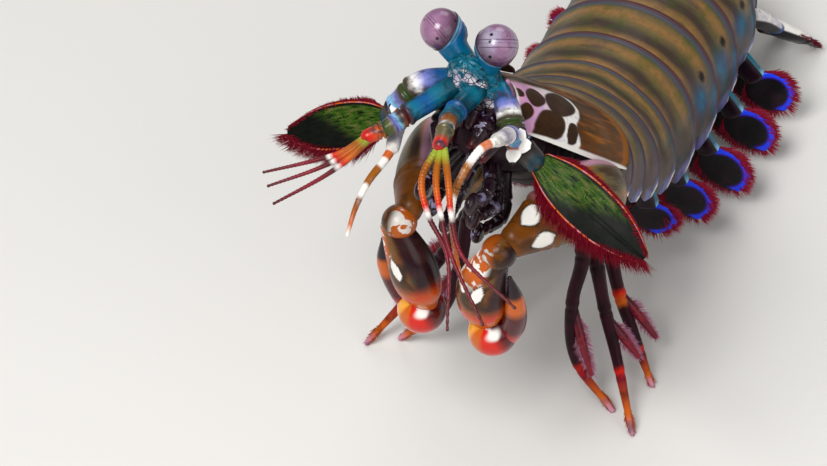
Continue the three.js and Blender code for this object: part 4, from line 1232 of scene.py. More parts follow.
def build_underside():
    """One skin under head, thorax and abdomen, folded at each somite."""
    stations = np.linspace(-3, 116.5, 240)
    half = np.interp(stations, *SKIN_HALF)
    top = np.interp(stations, *SKIN_TOP)
    bottom = np.interp(stations, *SKIN_BOTTOM)
    folds = np.array([row[0] for row in SOMITES.values()] + SKIN_FOLDS)
    crease = sum(bump(stations, fold, 0.7) for fold in folds)
    half, bottom = half - 0.35 * crease, bottom - 0.5 * crease
    ends = smooth(stations, -3, -1.5) * (1 - smooth(stations, 115.5, 116.5))
    angle = np.linspace(0, 2 * np.pi, 72, endpoint=False)
    middle, reach = (top - bottom) / 2, (top + bottom) / 2
    across = np.sign(np.cos(angle)) * np.abs(np.cos(angle)) ** 0.85
    points = place(
        stations[:, None], 0, (half * ends)[:, None] * across,
        middle[:, None] + (reach * ends)[:, None] * np.sin(angle))
    made = Finish("underside_skin", smoothness=(0.45, 0.7), grain=(1500.0, 0.3), shine=0.15)
    material = made.colour(made.mottled("skin", "plum", 250.0, 0.8))
    piece("underside", [sheet(points, round_columns=True, along=(stations[:, None] / 117),
                              side=np.cos(angle))],
          material, ["trunk"])


# Head

def build_head():

    def lumps(share, angle):
        broad = 0.28 * np.sin(5 * angle + 9 * share) * np.sin(np.pi * share)
        return broad + 0.18 * np.sin(9 * angle - 14 * share)

    front = limb(head_place(HEAD_FRONT["path"]), HEAD_FRONT["wide"], HEAD_FRONT["deep"], HEAD_UP,
                 around=72, along=80, lift=lumps)
    steps = front["points"] - head_place((0, 0, 0))
    front["fields"]["rise"] = steps @ HEAD_UP - HEAD_FRONT["slope"] * (steps @ HEAD_AHEAD)
    made = Finish("head_shell", smoothness=(0.15, 0.35), grain=(2000.0, 0.25), shine=0.25)
    tinted = made.ramp(made.noise(360.0, 4.0, warp=1.6), [
        (0.36, "deep_teal"), (0.44, "teal"), (0.5, "deep_teal"), (0.56, "teal"),
        (0.62, "deep_teal"), (0.74, "pale_blue")])
    low = made.over("rise", -0.5, -1.5)
    net = made.cells(1300.0, feature="DISTANCE_TO_EDGE")
    pale = made.blend(made.span(net, 0.12, 0.04), made.mottled("silver", "white", 500.0, 0.8), "black")
    tinted = made.blend(made.times(low, made.span(made.noise(500.0, 2.0), 0.42, 0.52)), tinted, pale)
    material = made.colour(tinted)
    piece("head_front", [front], material, ["head"])
    leaf = limb(head_place(ROSTRUM["path"]), ROSTRUM["wide"], ROSTRUM["deep"], HEAD_UP, around=48,
                along=40)
    made = Finish("rostral_shell")
    material = made.colour(made.mottled("brown", "deep_teal", 400.0, 0.8))
    piece("rostral_plate", [leaf], material, ["rostrum"])


# Eyes

# Lines of the midband of each cornea: the way they face from the head, and how far they lie
# from the middle as shares of the radius. Dark spots are given as ways from the middle.
MIDBANDS = {
    "left": {
        "facing": (0.256, -0.269, 0.928),
        "lines": ((0.22, 0.022), (0.06, 0.01), (-0.15, 0.022)),
        "spots": ((0.98, -0.03, 0.20), (0.985, 0.05, -0.15), (0.63, 0.15, -0.76)),
    },
    "right": {
        "facing": (-0.093, 0.503, 0.860),
        "lines": ((-0.28, 0.012), (-0.15, 0.02), (-0.02, 0.012)),
        "spots": ((0.48, 0.74, 0.46), (0.70, 0.30, -0.64)),
    },
}


def build_eyes():
    radius = sizes().eye_radius / MM
    for side, eye in EYES.items():
        centre, root = head_place(eye["centre"]), head_place(eye["root"])
        gaze, *marks = unit(head_place(
            [eye["gaze"], MIDBANDS[side]["facing"], *MIDBANDS[side]["spots"]]) - head_place((0, 0, 0)))
        across = unit(np.cross(gaze, HEAD_UP))
        outward = np.cross(across, gaze)

        def toward(way, polar, angle):
            """Cosine of the angle between a way and the direction to each point."""
            return (gaze @ way * np.cos(polar)
                    + np.sin(polar) * (across @ way * np.cos(angle) + outward @ way * np.sin(angle)))

        def spots(polar, angle):
            return np.max([smooth(toward(way, polar, angle), 0.9945, 0.9985) for way in marks[1:]],
                          axis=0)

        cornea = ball(
            centre, (radius, radius, radius), gaze, HEAD_UP, 90, 120, (0, 99),
            band=lambda polar, angle: toward(marks[0], polar, angle), spot=spots,
        )
        made = Finish(f"cornea_{side}", smoothness=(0.08, 0.16), grain=(9000.0, 0.1), coat=0.4)
        rim = made.over("along", 0.26, 0.52)
        # The left cornea's pale tone is silver, a painted reflection; the right cornea's pink is its own
        # colour
        light = {"left": "silver", "right": "pink"}[side]
        tone = made.ramp(made.noise(260.0, 2.0), [(0.35, "mauve"), (0.65, light)])
        tone = made.blend(made.times(rim, 0.85), tone, "dark_mauve")
        for at, width in MIDBANDS[side]["lines"]:
            tone = made.blend(made.times(made.band(made.field("band"), at, width), 0.75), tone,
                              "dark_mauve")
        tone = made.blend(made.field("spot"), tone, "black")
        facets = made.cells(5200.0)
        tone = made.blend(made.times(made.span(facets, 0.35, 0.6), 0.18), tone, "dark_mauve")
        piece(f"cornea_{side}", [cornea], made.colour(tone), [f"eye_{side}"])

        cup_radius = radius + 0.15
        cup = ball(centre, (cup_radius,) * 3, -gaze, HEAD_UP, 60, 72, (0, 79))
        neck = limb([root, root + (centre - root) * 0.5, centre - gaze * 1.6], STALK_WIDE,
                    facing=HEAD_UP, around=48, along=36)
        neck["fields"]["along"] = neck["fields"]["along"] * 0.2
        made = Finish(f"stalk_{side}", smoothness=(0.15, 0.3), grain=(2500.0, 0.2))
        ring = made.ramp(made.field("along"), [
            (0.0, "teal"), (0.2, "blue"), (0.33, "blue"), (0.36, "pale_blue"), (0.385, "blue"),
            (0.41, "pale_blue"), (0.44, "dark_mauve")])
        piece(f"stalk_{side}", [cup, neck], made.colour(made.mottled(ring, "deep_teal", 380.0, 0.5)),
              [f"eye_stalk_{side}"])


# Feelers

def ringed(height, turns):
    """Lift of fine rings along a whip: height times the sine of turns times the share."""
    return lambda share, angle: height * np.sin(share * turns) + 0 * angle


def build_antennules():
    segments = {
        "left": [
            (0.0, "deep_teal"), (0.1, "teal"), (0.26, "deep_teal"), (0.32, "blue"), (0.48, "teal"),
            (0.58, "deep_teal"), (0.62, "rust"), (0.7, "amber"), (0.73, "net_white"),
            (0.77, "olive"), (0.9, "olive"), (1.0, "red"),
        ],
        "right": [
            (0.0, "deep_teal"), (0.12, "teal"), (0.2, "blue"), (0.27, "teal"), (0.32, "dark_red"),
            (0.42, "rust"), (0.48, "pale_blue"), (0.54, "lavender"), (0.62, "olive"),
            (0.74, "leaf"), (0.8, "orange"), (1.0, "red"),
        ],
    }
    thin = [
        (0.0, "lime"), (0.08, "lime"), (0.16, "amber"), (0.34, "orange"), (0.44, "red"),
        (0.5, "net_white"), (0.55, "dark_red"), (0.75, "crimson"), (1.0, "dark_red"),
    ]
    slim = banded_finish("antennule_whips", thin, ("dark_red", 300.0, 0.3))
    for side, rows in ANTENNULES.items():
        stout = banded_finish(f"antennule_segments_{side}", segments[side], ("deep_teal", 450.0, 0.9))
        stem = limb(head_place(rows["peduncle"]), ANTENNULE_WIDE, facing=HEAD_UP, around=40, along=120,
                    joints=ANTENNULE_JOINTS, knot=0.02, flare=0.14, pinch=0.3)
        piece(f"antennule_{side}_segments", [stem], stout, [f"antennule_{side}"])
        whips = [
            limb(head_place(line), ANTENNULE_WHIP_WIDE, facing=HEAD_UP, around=12, along=140,
                 lift=ringed(0.05, 260))
            for line in rows["flagella"]
        ]
        piece(f"antennule_{side}_whips", whips, slim)


def build_antennae():
    base_bands = [
        (0.0, "teal"), (0.2, "blue"), (0.3, "lavender"), (0.38, "net_white"), (0.43, "umber"),
        (0.5, "leaf"), (0.56, "umber"), (0.62, "lavender"), (0.72, "pale_blue"), (0.78, "lavender"),
        (0.82, "black"), (0.86, "umber"), (1.0, "deep_teal"),
    ]
    stalk_bands = [
        (0.0, "lavender"), (0.3, "net_white"), (0.46, "lavender"), (0.5, "black"),
        (0.54, "net_white"), (0.8, "silver"), (1.0, "net_white")]
    whip_bands = [
        (0.0, "white"), (0.1, "white"), (0.13, "orange"), (0.22, "orange"), (0.25, "white"),
        (0.33, "white"), (0.36, "amber"), (0.52, "amber"), (0.55, "white"), (0.64, "white"),
        (0.68, "rust"), (0.9, "orange"), (1.0, "white"),
    ]
    base_paint = banded_finish("antenna_base", base_bands, ("umber", 650.0, 0.85))
    stalk_paint = banded_finish("antenna_stalk", stalk_bands, ("black", 420.0, 0.55))
    whip_paint = banded_finish("antenna_whip", whip_bands, ("white", 500.0, 0.2))
    made = Finish("antenna_petal", smoothness=(0.3, 0.5))
    heart = made.over("along", 0.36, 0.2)
    leaf_paint = made.blend(heart, made.mottled("white", "lavender", 500.0, 0.3), "orange")
    rim = made.math("MAXIMUM", made.over("middle", 0.78, 0.88), made.over("along", 0.94, 0.99))
    petal_paint = made.colour(made.blend(rim, leaf_paint, "black"))
    for side, rows in ANTENNAE.items():
        base = limb(head_place(rows["base"]), ANTENNA_WIDE["base"], facing=HEAD_UP, around=40, along=90,
                    joints=ANTENNA_JOINTS["base"], knot=0.03, flare=0.12)
        piece(f"antenna_{side}_base", [base], base_paint, [f"antenna_{side}"])
        stalk = limb(head_place(rows["peduncle"]), ANTENNA_WIDE["peduncle"], facing=HEAD_UP,
                     around=32, along=70, joints=ANTENNA_JOINTS["peduncle"], knot=0.04)
        piece(f"antenna_{side}_stalk", [stalk], stalk_paint)
        whip = limb(head_place(rows["flagellum"]), ANTENNA_WIDE["flagellum"], facing=HEAD_UP,
                    around=14, along=160, lift=ringed(0.04, 300))
        piece(f"antenna_{side}_whip", [whip], whip_paint)
        root = np.array([PETAL_AHEAD[0], *PETAL_ROOT])
        petals = [
            limb(head_place([root, (PETAL_AHEAD[1], root[1] + out, root[2] + up)], SIDES[side]),
                 PETAL_WIDE, PETAL_DEEP, HEAD_AHEAD, around=32, along=30,
                 middle=lambda share, angle: np.abs(np.cos(angle)) + 0 * share)
            for out, up in PETALS
        ]
        piece(f"antenna_{side}_petals", petals, petal_paint)


def scale_finish():
    made = Finish("scale_blade", smoothness=(0.42, 0.62), grain=(2500.0, 0.25), shine=0.08)
    along, across = made.field("along"), made.field("up")
    streak = made.pair(made.times(along, 6.0), made.times(across, 5.0))
    tinted = made.ramp(made.noise(1.6, 4.0, vector=streak),
                       [(0.34, "black"), (0.5, "leaf"), (0.72, "olive")])
    specks = made.span(made.cells(14.0, vector=made.pair(
        made.times(along, 4.4), made.times(across, 1.5))), 0.2, 0.1)
    tinted = made.blend(made.times(specks, 0.8), tinted, "lime")
    shade = made.math("SUBTRACT", along, made.times(across, 0.35))
    tinted = made.blend(made.times(made.span(shade, 0.32, 0.6), 0.96), tinted, "black")
    edge = made.math("ABSOLUTE", across)
    tinted = made.blend(made.span(edge, 0.7, 0.8), tinted, "black")
    tinted = made.blend(made.band(edge, 0.865, 0.03), tinted,
                        made.mottled("orange", "net_pink", 900.0, 0.7))
    tinted = made.blend(made.span(edge, 0.9, 0.94), tinted, "crimson")
    return made.colour(tinted)


def build_scales():
    rng = np.random.default_rng(5)
    finish = scale_finish()
    hairs = []
    for index, (side, ends) in enumerate(SCALES.items()):
        path = head_place(ends)
        sign = SIDES[side]

        def relief(share, angle):
            across = np.cos(angle)
            return 0.16 * bump(np.abs(across), 0.86, 0.04) + 0.12 * bump(across, 0.1, 0.08)

        blade = limb(path, SCALE_HALF_WIDTHS, SCALE_HALF_DEPTHS, HEAD_AHEAD, around=120, along=120,
                     lift=relief, up=lambda share, angle: -sign * np.cos(angle) + 0 * share)
        piece(f"scale_{side}_blade", [blade], finish, [f"antenna_scale_{side}"])
        hairs.append(edge_hairs(path, SCALE_HALF_WIDTHS, HEAD_AHEAD, 0.04, *SCALE_FRINGE, rng,
                                ((0.05 + 0.5 * index, 0.05), 0.4), density=2.4))
    setae("scale_fringe", *gather(hairs), seta_finish("scale_setae", "crimson", "crimson"),
          "antenna_scale")


# Claws

def claw_place(rows, side, spread=0.0):
    return head_place(rows, SIDES[side], spread)


def marked(spots):
    """Fields for white leaves inside thin black rings."""
    rings = [(at, turn, 1.15 * half, 1.15 * wide) for at, turn, half, wide in spots]
    return {
        "spot": lambda share, angle: leaf_spots(share, angle, spots, 0.08),
        "edge": lambda share, angle: leaf_spots(share, angle, rings, 0.08),
    }


def build_claws():
    merus_spots = [(0.90, 133, 0.06, 26), (0.90, 208, 0.065, 22)]
    knuckle_spots = [(0.6, 100, 0.12, 26)]
    palm_spots = [(0.31, 270, 0.11, 14)]
    made = Finish("merus_shell", smoothness=(0.26, 0.46), shine=0.2)
    streak = made.noise(1.0, 4.0, vector=made.pair(
        made.times(made.field("along"), 3.0), made.times(made.field("side"), 2.2),
        made.times(made.field("face"), 2.2)))
    tinted = made.ramp(streak, [(0.3, "cell"), (0.42, "brown"), (0.52, "olive"), (0.62, "amber"),
                                (0.74, "gold")])
    tinted = made.blend(made.times(made.over("face", 0.9, 0.98), 0.7), tinted, "net_pink")
    end = made.over("along", 0.76, 0.86)
    tinted = made.blend(end, tinted, made.mottled("rust", "brown", 350.0, 0.8))
    tinted = made.blend(made.field("edge"), tinted, "black")
    merus_paint = made.colour(made.blend(made.field("spot"), tinted, "white"))
    made = Finish("palm_shell", smoothness=(0.16, 0.36), shine=0.25)
    tinted = made.ramp(made.noise(240.0, 4.0, warp=0.8), [
        (0.35, "cell"), (0.46, "brown"), (0.56, "rust"), (0.68, "olive"), (0.8, "amber")])
    # Plum on the side of the palm toward the merus is painted shade of the gap between them
    inner = made.over("side", 0.25, 0.7)
    tinted = made.blend(made.times(inner, 0.9), tinted, "plum")
    near = made.times(made.over("along", 0.36, 0.14), made.over("side", 0.2, -0.3))
    patches = made.blend(made.span(made.noise(420.0, 2.0, warp=1.0), 0.5, 0.56), paint("orange"), "white")
    tinted = made.blend(near, tinted, patches)
    far = made.over("along", 0.48, 0.72)
    tinted = made.blend(far, tinted, made.mottled("orange", "red", 240.0, 0.9))
    tinted = made.blend(made.field("edge"), tinted, "black")
    palm_paint = made.colour(made.blend(made.field("spot"), tinted, "white"))
    made = Finish("club_shell", smoothness=(0.08, 0.22), coat=0.2)
    # The club's own red and orange, with painted light in lighter yellow towards one side and painted shade
    # in dark red on the other side
    shade = made.math("ADD", made.field("side"), made.times(made.noise(200.0, 2.0), 0.3))
    tinted = made.ramp(shade, [
        (0.0, "red"), (0.1, "red"), (0.4, "orange"), (0.75, "orange"), (1.0, "yellow")])
    tinted = made.blend(made.over("side", -0.6, -1.0), tinted, "dark_red")
    # Painted highlight in pale white on the heel
    tinted = made.blend(made.field("glow"), tinted, "net_white")
    club_paint = made.colour(tinted)
    made = Finish("finger_shell", smoothness=(0.12, 0.3), coat=0.15)
    finger_paint = made.colour(made.ramp(made.field("along"), [
        (0.0, "red"), (0.2, "red"), (0.34, "dark_red"), (0.52, "dark_red"), (0.6, "orange"),
        (0.72, "orange"), (0.78, "plum"), (1.0, "plum")]))
    unmarked = dict.fromkeys(("spot", "edge"), lambda share, angle: 0 * share * angle)
    for side in SIDES:
        spread = CLAW_SPREAD[side]
        hip = limb(claw_place(CLAW["hip"], side), CLAW_WIDE["hip"], facing=HEAD_UP, around=32, along=40,
                   joints=(0.5,), **unmarked)
        merus = limb(
            claw_place(CLAW["merus"], side), CLAW_WIDE["merus"], CLAW_DEEP["merus"],
            HEAD_UP, around=96, along=140, joints=(0.84,), knot=0.016, pinch=0.08, flare=0.05,
            **marked(merus_spots))
        piece(f"claw_{side}_merus", [hip, merus], merus_paint,
              [f"raptorial_merus_{side}"])
        knuckle = ball(
            claw_place(CLAW["knuckle"], side, spread * 0.6), KNUCKLE_RADII, HEAD_LEFT, HEAD_UP, 60, 72,
            **{key: (lambda polar, angle, value=value: value(polar / np.pi, angle))
               for key, value in marked(knuckle_spots).items()})
        knuckle["fields"]["side"] = np.cos(knuckle["fields"]["along"] * np.pi) * 0.8 * SIDES[side] - 0.1
        knuckle["fields"]["along"] = 0.22 + 0 * knuckle["fields"]["along"]
        palm = limb(
            claw_place(CLAW["palm"], side, spread), CLAW_WIDE["palm"], CLAW_DEEP["palm"],
            HEAD_UP, around=96, along=120, **marked(palm_spots))
        piece(f"claw_{side}_palm", [knuckle, palm], palm_paint,
              [f"raptorial_palm_{side}"])
        # The heel carries the mask of its painted highlight
        heel = ball(claw_place(CLAW["heel"], side, spread), (HEEL_RADIUS, HEEL_RADIUS, HEEL_RADIUS),
                    HEAD_AHEAD, HEAD_UP, 60, 80,
                    glow=lambda polar, angle: leaf_spots(polar / np.pi, angle, HEEL_HIGHLIGHT, 0.6))
        piece(f"claw_{side}_heel", [heel], club_paint, [f"raptorial_club_{side}"])
        finger = limb(claw_place(CLAW["finger"], side, spread), CLAW_WIDE["finger"], facing=HEAD_UP,
                      around=40, along=90)
        piece(f"claw_{side}_finger", [finger], finger_paint)


# Mouthparts

def build_mouthparts():
    made = Finish("mouthpart_shell", smoothness=(0.14, 0.36), shine=0.4)
    tinted = made.mottled("plum", "skin", 300.0, 0.8)
    glints = made.span(made.noise(430.0, 3.0, warp=0.9), 0.6, 0.67)
    tinted = made.blend(made.times(glints, 0.7), tinted, made.mottled("silver", "lavender", 260.0, 0.8))
    tinted = made.blend(made.over("along", 0.8, 0.98), tinted,
                        made.mottled("dark_red", "plum", 300.0, 0.8))
    finish = made.colour(tinted)
    for number, (rows, hand) in MAXILLIPEDS.items():
        for side, sign in SIDES.items():
            path = head_place(rows, sign)
            arm = limb(path, MAXILLIPED_WIDE, facing=HEAD_UP, around=28, along=70,
                       joints=MAXILLIPED_JOINTS, knot=0.03)
            pad = ball(path[-1], (hand * HAND_FLATNESS, hand, hand), HEAD_LEFT, HEAD_UP, 30, 40)
            piece(f"maxilliped_{number}_{side}_arm", [arm, pad], finish,
                  [f"maxilliped_{number}_{side}"])
    for name, (rows, wide, deep) in MOUTH_LOBES.items():
        for side, sign in SIDES.items():
            lobe = limb(head_place(rows, sign), wide, deep, HEAD_AHEAD, around=36, along=50,
                        joints=(0.55,), knot=0.05)
            piece(f"{name}_{side}", [lobe], finish)


# Walking legs

def build_legs():
    rng = np.random.default_rng(31)
    lower = [(0.76, "maroon"), (0.79, "red"), (0.82, "crimson"), (0.94, "orange"), (1.0, "net_pink")]
    dark = banded_finish("leg_shell", [(0.0, "maroon"), *lower], ("black", 300.0, 0.6),
                         smoothness=(0.3, 0.5), shine=0.12)
    patched = banded_finish(
        "leg_shell_patched", [(0.0, "maroon"), (0.46, "maroon"), (0.5, "red"), (0.55, "orange"),
                              (0.58, "maroon"), *lower],
        ("black", 300.0, 0.6), smoothness=(0.3, 0.5), shine=0.12)
    twig = banded_finish("leg_branch_shell", [(0.0, "plum"), (0.5, "crimson"), (1.0, "crimson")],
                         ("plum", 400.0, 0.5))
    combs, tufts = [], []
    for number, (root, line, branch) in LEGS.items():
        for side, sign in SIDES.items():
            hip = place(root, 0, LEG_ROOT[0] * sign, LEG_ROOT[1])
            path = np.vstack([hip, mirrored(line, sign)])
            leg = limb(path, LEG_WIDE, facing=HEAD_AHEAD, around=28, along=160,
                       joints=LEG_JOINTS, knot=0.014, flare=0.07, pinch=0.08)
            piece(f"leg_{number}_{side}_limb", [leg], patched if number == 3 else dark,
                  [f"leg_{number}_{side}"])
            twig_path = mirrored(branch, sign)
            side_branch = limb(twig_path, BRANCH_WIDE, around=20, along=60, joints=(0.5,), knot=0.03)
            piece(f"leg_{number}_{side}_branch", [side_branch], twig)
            chart = (0.02 + 0.5 * (sign < 0), 0.02 + 0.3 * (number - 1))
            combs.append(edge_hairs(
                twig_path, BRANCH_WIDE, HEAD_AHEAD, 0.2, COMB_HAIR, COMB_HAIR, rng, (chart, 0.28)))
            tufts.append(edge_hairs(
                path[-2:], BRUSH_WIDE, HEAD_AHEAD, 0.66, BRUSH_HAIR, BRUSH_HAIR, rng, (chart, 0.28),
                lean=40))
    for name, hairs, tip in (("leg_combs", combs, "net_pink"), ("leg_brushes", tufts, "orange")):
        setae(name, *above_floor(gather(hairs)), seta_finish(f"{name}_setae", "crimson", tip), "leg",
              sag=0.0)


# Swimmerets

def swimmeret_finish():
    made = Finish("swimmeret_blade", smoothness=(0.3, 0.5), grain=(1800.0, 0.25), shine=0.25)
    outer, along = made.field("outer"), made.field("along")
    tinted = made.mottled("black", "plum", 300.0, 0.9)

    arc = made.span(made.math("ADD", outer, made.times(along, 0.9)), 0.2, 0.6)
    disc = made.field("disc")
    tinted = made.blend(made.times(made.span(disc, 0.68, 0.8), arc), tinted, "violet")
    tinted = made.blend(made.times(made.span(disc, 0.76, 0.84), arc), tinted, "ultramarine")
    return made.colour(tinted)


def build_swimmerets():
    rng = np.random.default_rng(11)
    blade_paint = swimmeret_finish()
    made = Finish("swimmeret_stem", smoothness=(0.2, 0.45))
    tinted = made.mottled("plum", "black", 300.0, 0.7)
    bar = made.times(made.over("outer", 0.78, 0.88), made.over("along", 0.08, 0.25))
    bars = made.ramp(made.field("along"), [(0.2, "steel"), (0.6, "teal"), (0.86, "slate"),
                                           (1.0, "pale_blue")])
    stem_paint = made.colour(made.blend(bar, tinted, bars))
    fringe_paint = seta_finish("swimmeret_setae", "crimson", "rose")
    for side, sign in SIDES.items():
        def outer(share, angle):
            return -sign * np.cos(angle) + 0 * share

        def disc(share, angle):
            """Distance from the middle of a round blade as a share of its radius."""
            half = curve(BLADE_HALF_WIDTHS, share.ravel())[:, None] / max(BLADE_HALF_WIDTHS)
            return np.hypot(2 * share - 1, np.cos(angle) * half)

        hairs = []
        for number, (station, splay, reach) in SWIMMERETS.items():
            splay, reach = splay * SWIMMERET_DRAW[side][0], reach * SWIMMERET_DRAW[side][1]
            facing = directions(float(station))[0]

            def hang(angle):
                turn = np.radians(angle)
                return np.array([np.sin(turn) * sign, SWIMMERET_TRAIL, -np.cos(turn)])

            root = place(station, 0, SWIMMERET_ROOT[0] * sign, SWIMMERET_ROOT[1])
            knee = root + hang(splay) * reach * STEM_SHARE
            stem = limb([root, knee + hang(splay) * STEM_SUNK], STEM_WIDE, STEM_DEEP, facing, around=64,
                        along=40, outer=outer)
            piece(f"pleopod_{number}_{side}_stem", [stem], stem_paint,
                  [f"pleopod_{number}_{side}"])
            blades = []
            for spread, share, behind in BLADES.values():
                start = knee - facing * behind
                tip = start + hang(splay + spread) * (reach * share - BLADE_FRINGE)
                blades.append(limb(
                    [start, tip], BLADE_HALF_WIDTHS, BLADE_HALF_DEPTHS, facing, around=96, along=60,
                    outer=outer, disc=disc))
                chart = (0.02 + 0.5 * (share < 0.5), 0.02 + 0.19 * (number - 1)), 0.17
                hairs.append(edge_hairs(
                    [start, tip], BLADE_HALF_WIDTHS, facing, 0.06, BLADE_FRINGE, BLADE_FRINGE, rng,
                    chart, density=2.4))
            piece(f"pleopod_{number}_{side}_blades", blades, blade_paint)
        setae(f"swimmeret_fringe_{side}", *gather(hairs), fringe_paint, "pleopod", radius_scale=1.2,
              sag=-0.06)


# Tail

def build_tail():
    size = TELSON
    share = np.linspace(0, 1, 90)
    angle = np.linspace(0, 2 * np.pi, 160, endpoint=False)
    half = size["half"] * curve(TELSON_TAPER, share)
    back = size["back"] + (size["edge"] - size["back"]) * share ** 1.4
    belly = size["belly"] + (size["edge"] - size["belly"]) * share
    close = np.sqrt(np.clip(1 - (2 * share - 1) ** 20, 0, 1))[:, None]
    x = half[:, None] * np.cos(angle) * close
    rise = np.where(np.sin(angle) > 0, back[:, None] * 0.9, belly[:, None] * 0.9)
    y = rise * np.sin(angle) * close
    top = np.clip(np.sin(angle), 0, 1)
    keels = sum(bump(np.cos(angle)[None, :], at, 0.05) for at in TELSON_KEELS)
    y = y + 0.9 * keels * top * (np.sin(np.pi * share) ** 0.5)[:, None]
    points = place(size["from"] + 0.15 + (size["to"] - size["from"]) * share[:, None], 0, x, y)
    plate_sheet = sheet(points, round_columns=True, along=share[:, None], side=np.cos(angle),
                        face=np.sin(angle))
    teeth = []
    for at in TELSON_TEETH:
        left = size["half"] * at * 0.78
        station = size["to"] - 1 - 4 * at ** 2
        ends = place(station, np.array([1.5, -size["tooth"]]), np.array([left, left * 1.06]), 0)
        teeth.append(limb(ends, TOOTH_WIDE, facing=directions(size["to"])[2], around=20, along=30))
    made = Finish("telson_shell", smoothness=(0.16, 0.4))
    tinted = made.ramp(made.noise(160.0, 4.0, warp=0.5), [
        (0.3, "deep_teal"), (0.45, "olive"), (0.6, "leaf"), (0.72, "gold")])
    tinted = made.blend(made.over("along", 0.8, 0.97), tinted, "red")
    material = made.colour(tinted)
    piece("telson_plate", [plate_sheet, *teeth], material, ["telson"])

    rng = np.random.default_rng(23)
    facing = directions(size["to"])[2]
    made = Finish("uropod_stem", smoothness=(0.25, 0.45))
    tinted = made.mottled("net_white", "silver", 350.0, 0.7)
    tinted = made.blend(made.over("along", 0.3, 0.08), tinted, "steel")
    veins = made.span(made.noise(420.0, 3.0, warp=0.8), 0.58, 0.66)
    tinted = made.blend(made.times(veins, 0.7), tinted, "umber")
    tinted = made.blend(made.over("face", -0.05, -0.3), tinted, "black")
    tinted = made.blend(made.over("along", 0.9, 0.99), tinted, "blue")
    stem_paint = made.colour(tinted)
    made = Finish("uropod_blade", smoothness=(0.25, 0.45))
    tinted = made.ramp(made.field("along"), [
        (0.0, "net_white"), (0.5, "net_white"), (0.56, "black"), (0.64, "blue"), (0.72, "dark_red"),
        (1.0, "dark_red")])
    tinted = made.blend(made.over("face", 0.0, -0.25), made.mottled(tinted, "umber", 420.0, 0.3), "black")
    fan_paint = made.colour(tinted)
    hairs = []
    for index, (side, sign) in enumerate(SIDES.items()):
        def spot(rows):
            return mirrored(rows, sign)

        stem = limb(spot(UROPOD["stem"]), UROPOD_WIDE["stem"], UROPOD_DEEP["stem"], facing, around=40,
                    along=50)
        fork = limb(spot(UROPOD["fork"]), UROPOD_WIDE["fork"], facing=facing, around=20, along=30)
        piece(f"uropod_{side}_stem", [stem, fork], stem_paint, [f"uropod_{side}"])
        outer = limb(spot(UROPOD["outer"]), UROPOD_WIDE["outer"], UROPOD_DEEP["outer"], facing, around=64,
                     along=70, joints=(0.55,))
        piece(f"uropod_{side}_outer", [outer], fan_paint)
        inner = limb(spot(UROPOD["inner"]), UROPOD_WIDE["inner"], UROPOD_DEEP["inner"], facing, around=56,
                     along=60)
        piece(f"uropod_{side}_inner", [inner], fan_paint, [f"uropod_endopod_{side}"])
        for row, (line, widths) in enumerate(UROPOD_FRINGE.items()):
            hairs.append(edge_hairs(
                spot(UROPOD[line]), widths, facing, 0.3, UROPOD_HAIR, UROPOD_HAIR, rng,
                ((0.05 + 0.5 * index, 0.05 + 0.5 * row), 0.4)))
    fringe_paint = seta_finish("tail_setae", "dark_red", "crimson")
    setae("tail_fringe", *above_floor(gather(hairs)), fringe_paint, "tail_fan", sag=0.0)


# Stage

def build_stage():
    bpy.ops.mesh.primitive_plane_add(size=FLOOR_SIZE)
    floor = bpy.context.object
    floor.name = "floor"
    material = bpy.data.materials.new("floor_paper")
    material.use_nodes = True
    shader = material.node_tree.nodes["Principled BSDF"]
    shader.inputs["Base Color"].default_value = paint("floor")
    shader.inputs["Roughness"].default_value = 0.9
    floor.data.materials.append(material)
    world = bpy.data.worlds.new("studio")
    bpy.context.scene.world = world
    world.use_nodes = True
    world.node_tree.nodes["Background"].inputs[0].default_value = (1, 1, 1, 1)
    world.node_tree.nodes["Background"].inputs[1].default_value = WORLD_LIGHT
    for name, (spot, size, power) in LAMPS.items():
        lamp = bpy.data.lights.new(name, "AREA")
        lamp.size = size
        lamp.energy = power
        light = bpy.data.objects.new(name, lamp)
        light.location = spot
        light.rotation_euler = (Vector((0, 0, 0.03)) - Vector(spot)).to_track_quat("-Z", "Y").to_euler()
        bpy.context.scene.collection.objects.link(light)
    bpy.context.scene.view_settings.view_transform = "Standard"
    build_camera()


def build_camera():
    azimuth, elevation = np.radians(CAMERA_AZIMUTH), np.radians(CAMERA_ELEVATION)
    look = np.array([
        -np.sin(azimuth) * np.cos(elevation), np.cos(azimuth) * np.cos(elevation), -np.sin(elevation)])
    right = np.array([np.cos(azimuth), np.sin(azimuth), 0])
    up = np.cross(right, look)
    anchor = axis_at(float(AXIS_STATION)) + SHIFT
    across = (ANCHOR_PIXEL[0] - PHOTO_PIXELS[0] / 2) / FOCAL_PIXELS * CAMERA_DISTANCE
    rise = -(ANCHOR_PIXEL[1] - PHOTO_PIXELS[1] / 2) / FOCAL_PIXELS * CAMERA_DISTANCE
    spot = (anchor - look * CAMERA_DISTANCE - right * across - up * rise) * MM
    lens = bpy.data.cameras.new("camera")
    lens.sensor_width = SENSOR_MM
    lens.lens = FOCAL_PIXELS / PHOTO_PIXELS[0] * SENSOR_MM
    lens.clip_start = 0.01
    camera = bpy.data.objects.new("camera", lens)
    turn = Matrix((right, up, -look)).transposed()
    camera.matrix_world = Matrix.Translation(spot) @ turn.to_4x4()
    bpy.context.scene.collection.objects.link(camera)
    bpy.context.scene.camera = camera


# Operators, one for each group of like pieces

class MANTIS_OT_stage(bpy.types.Operator):
    """Lay the floor, hang the lights and set the camera"""

    bl_idname = "mantis.stage"
    bl_label = "Stage"

    def execute(self, context):
        build_stage()
        return {"FINISHED"}


class MANTIS_OT_somites(bpy.types.Operator):
    """Add the back plates of thorax and abdomen"""

    bl_idname = "mantis.somites"
    bl_label = "Back plates"

    def execute(self, context):
        build_somites()
        return {"FINISHED"}


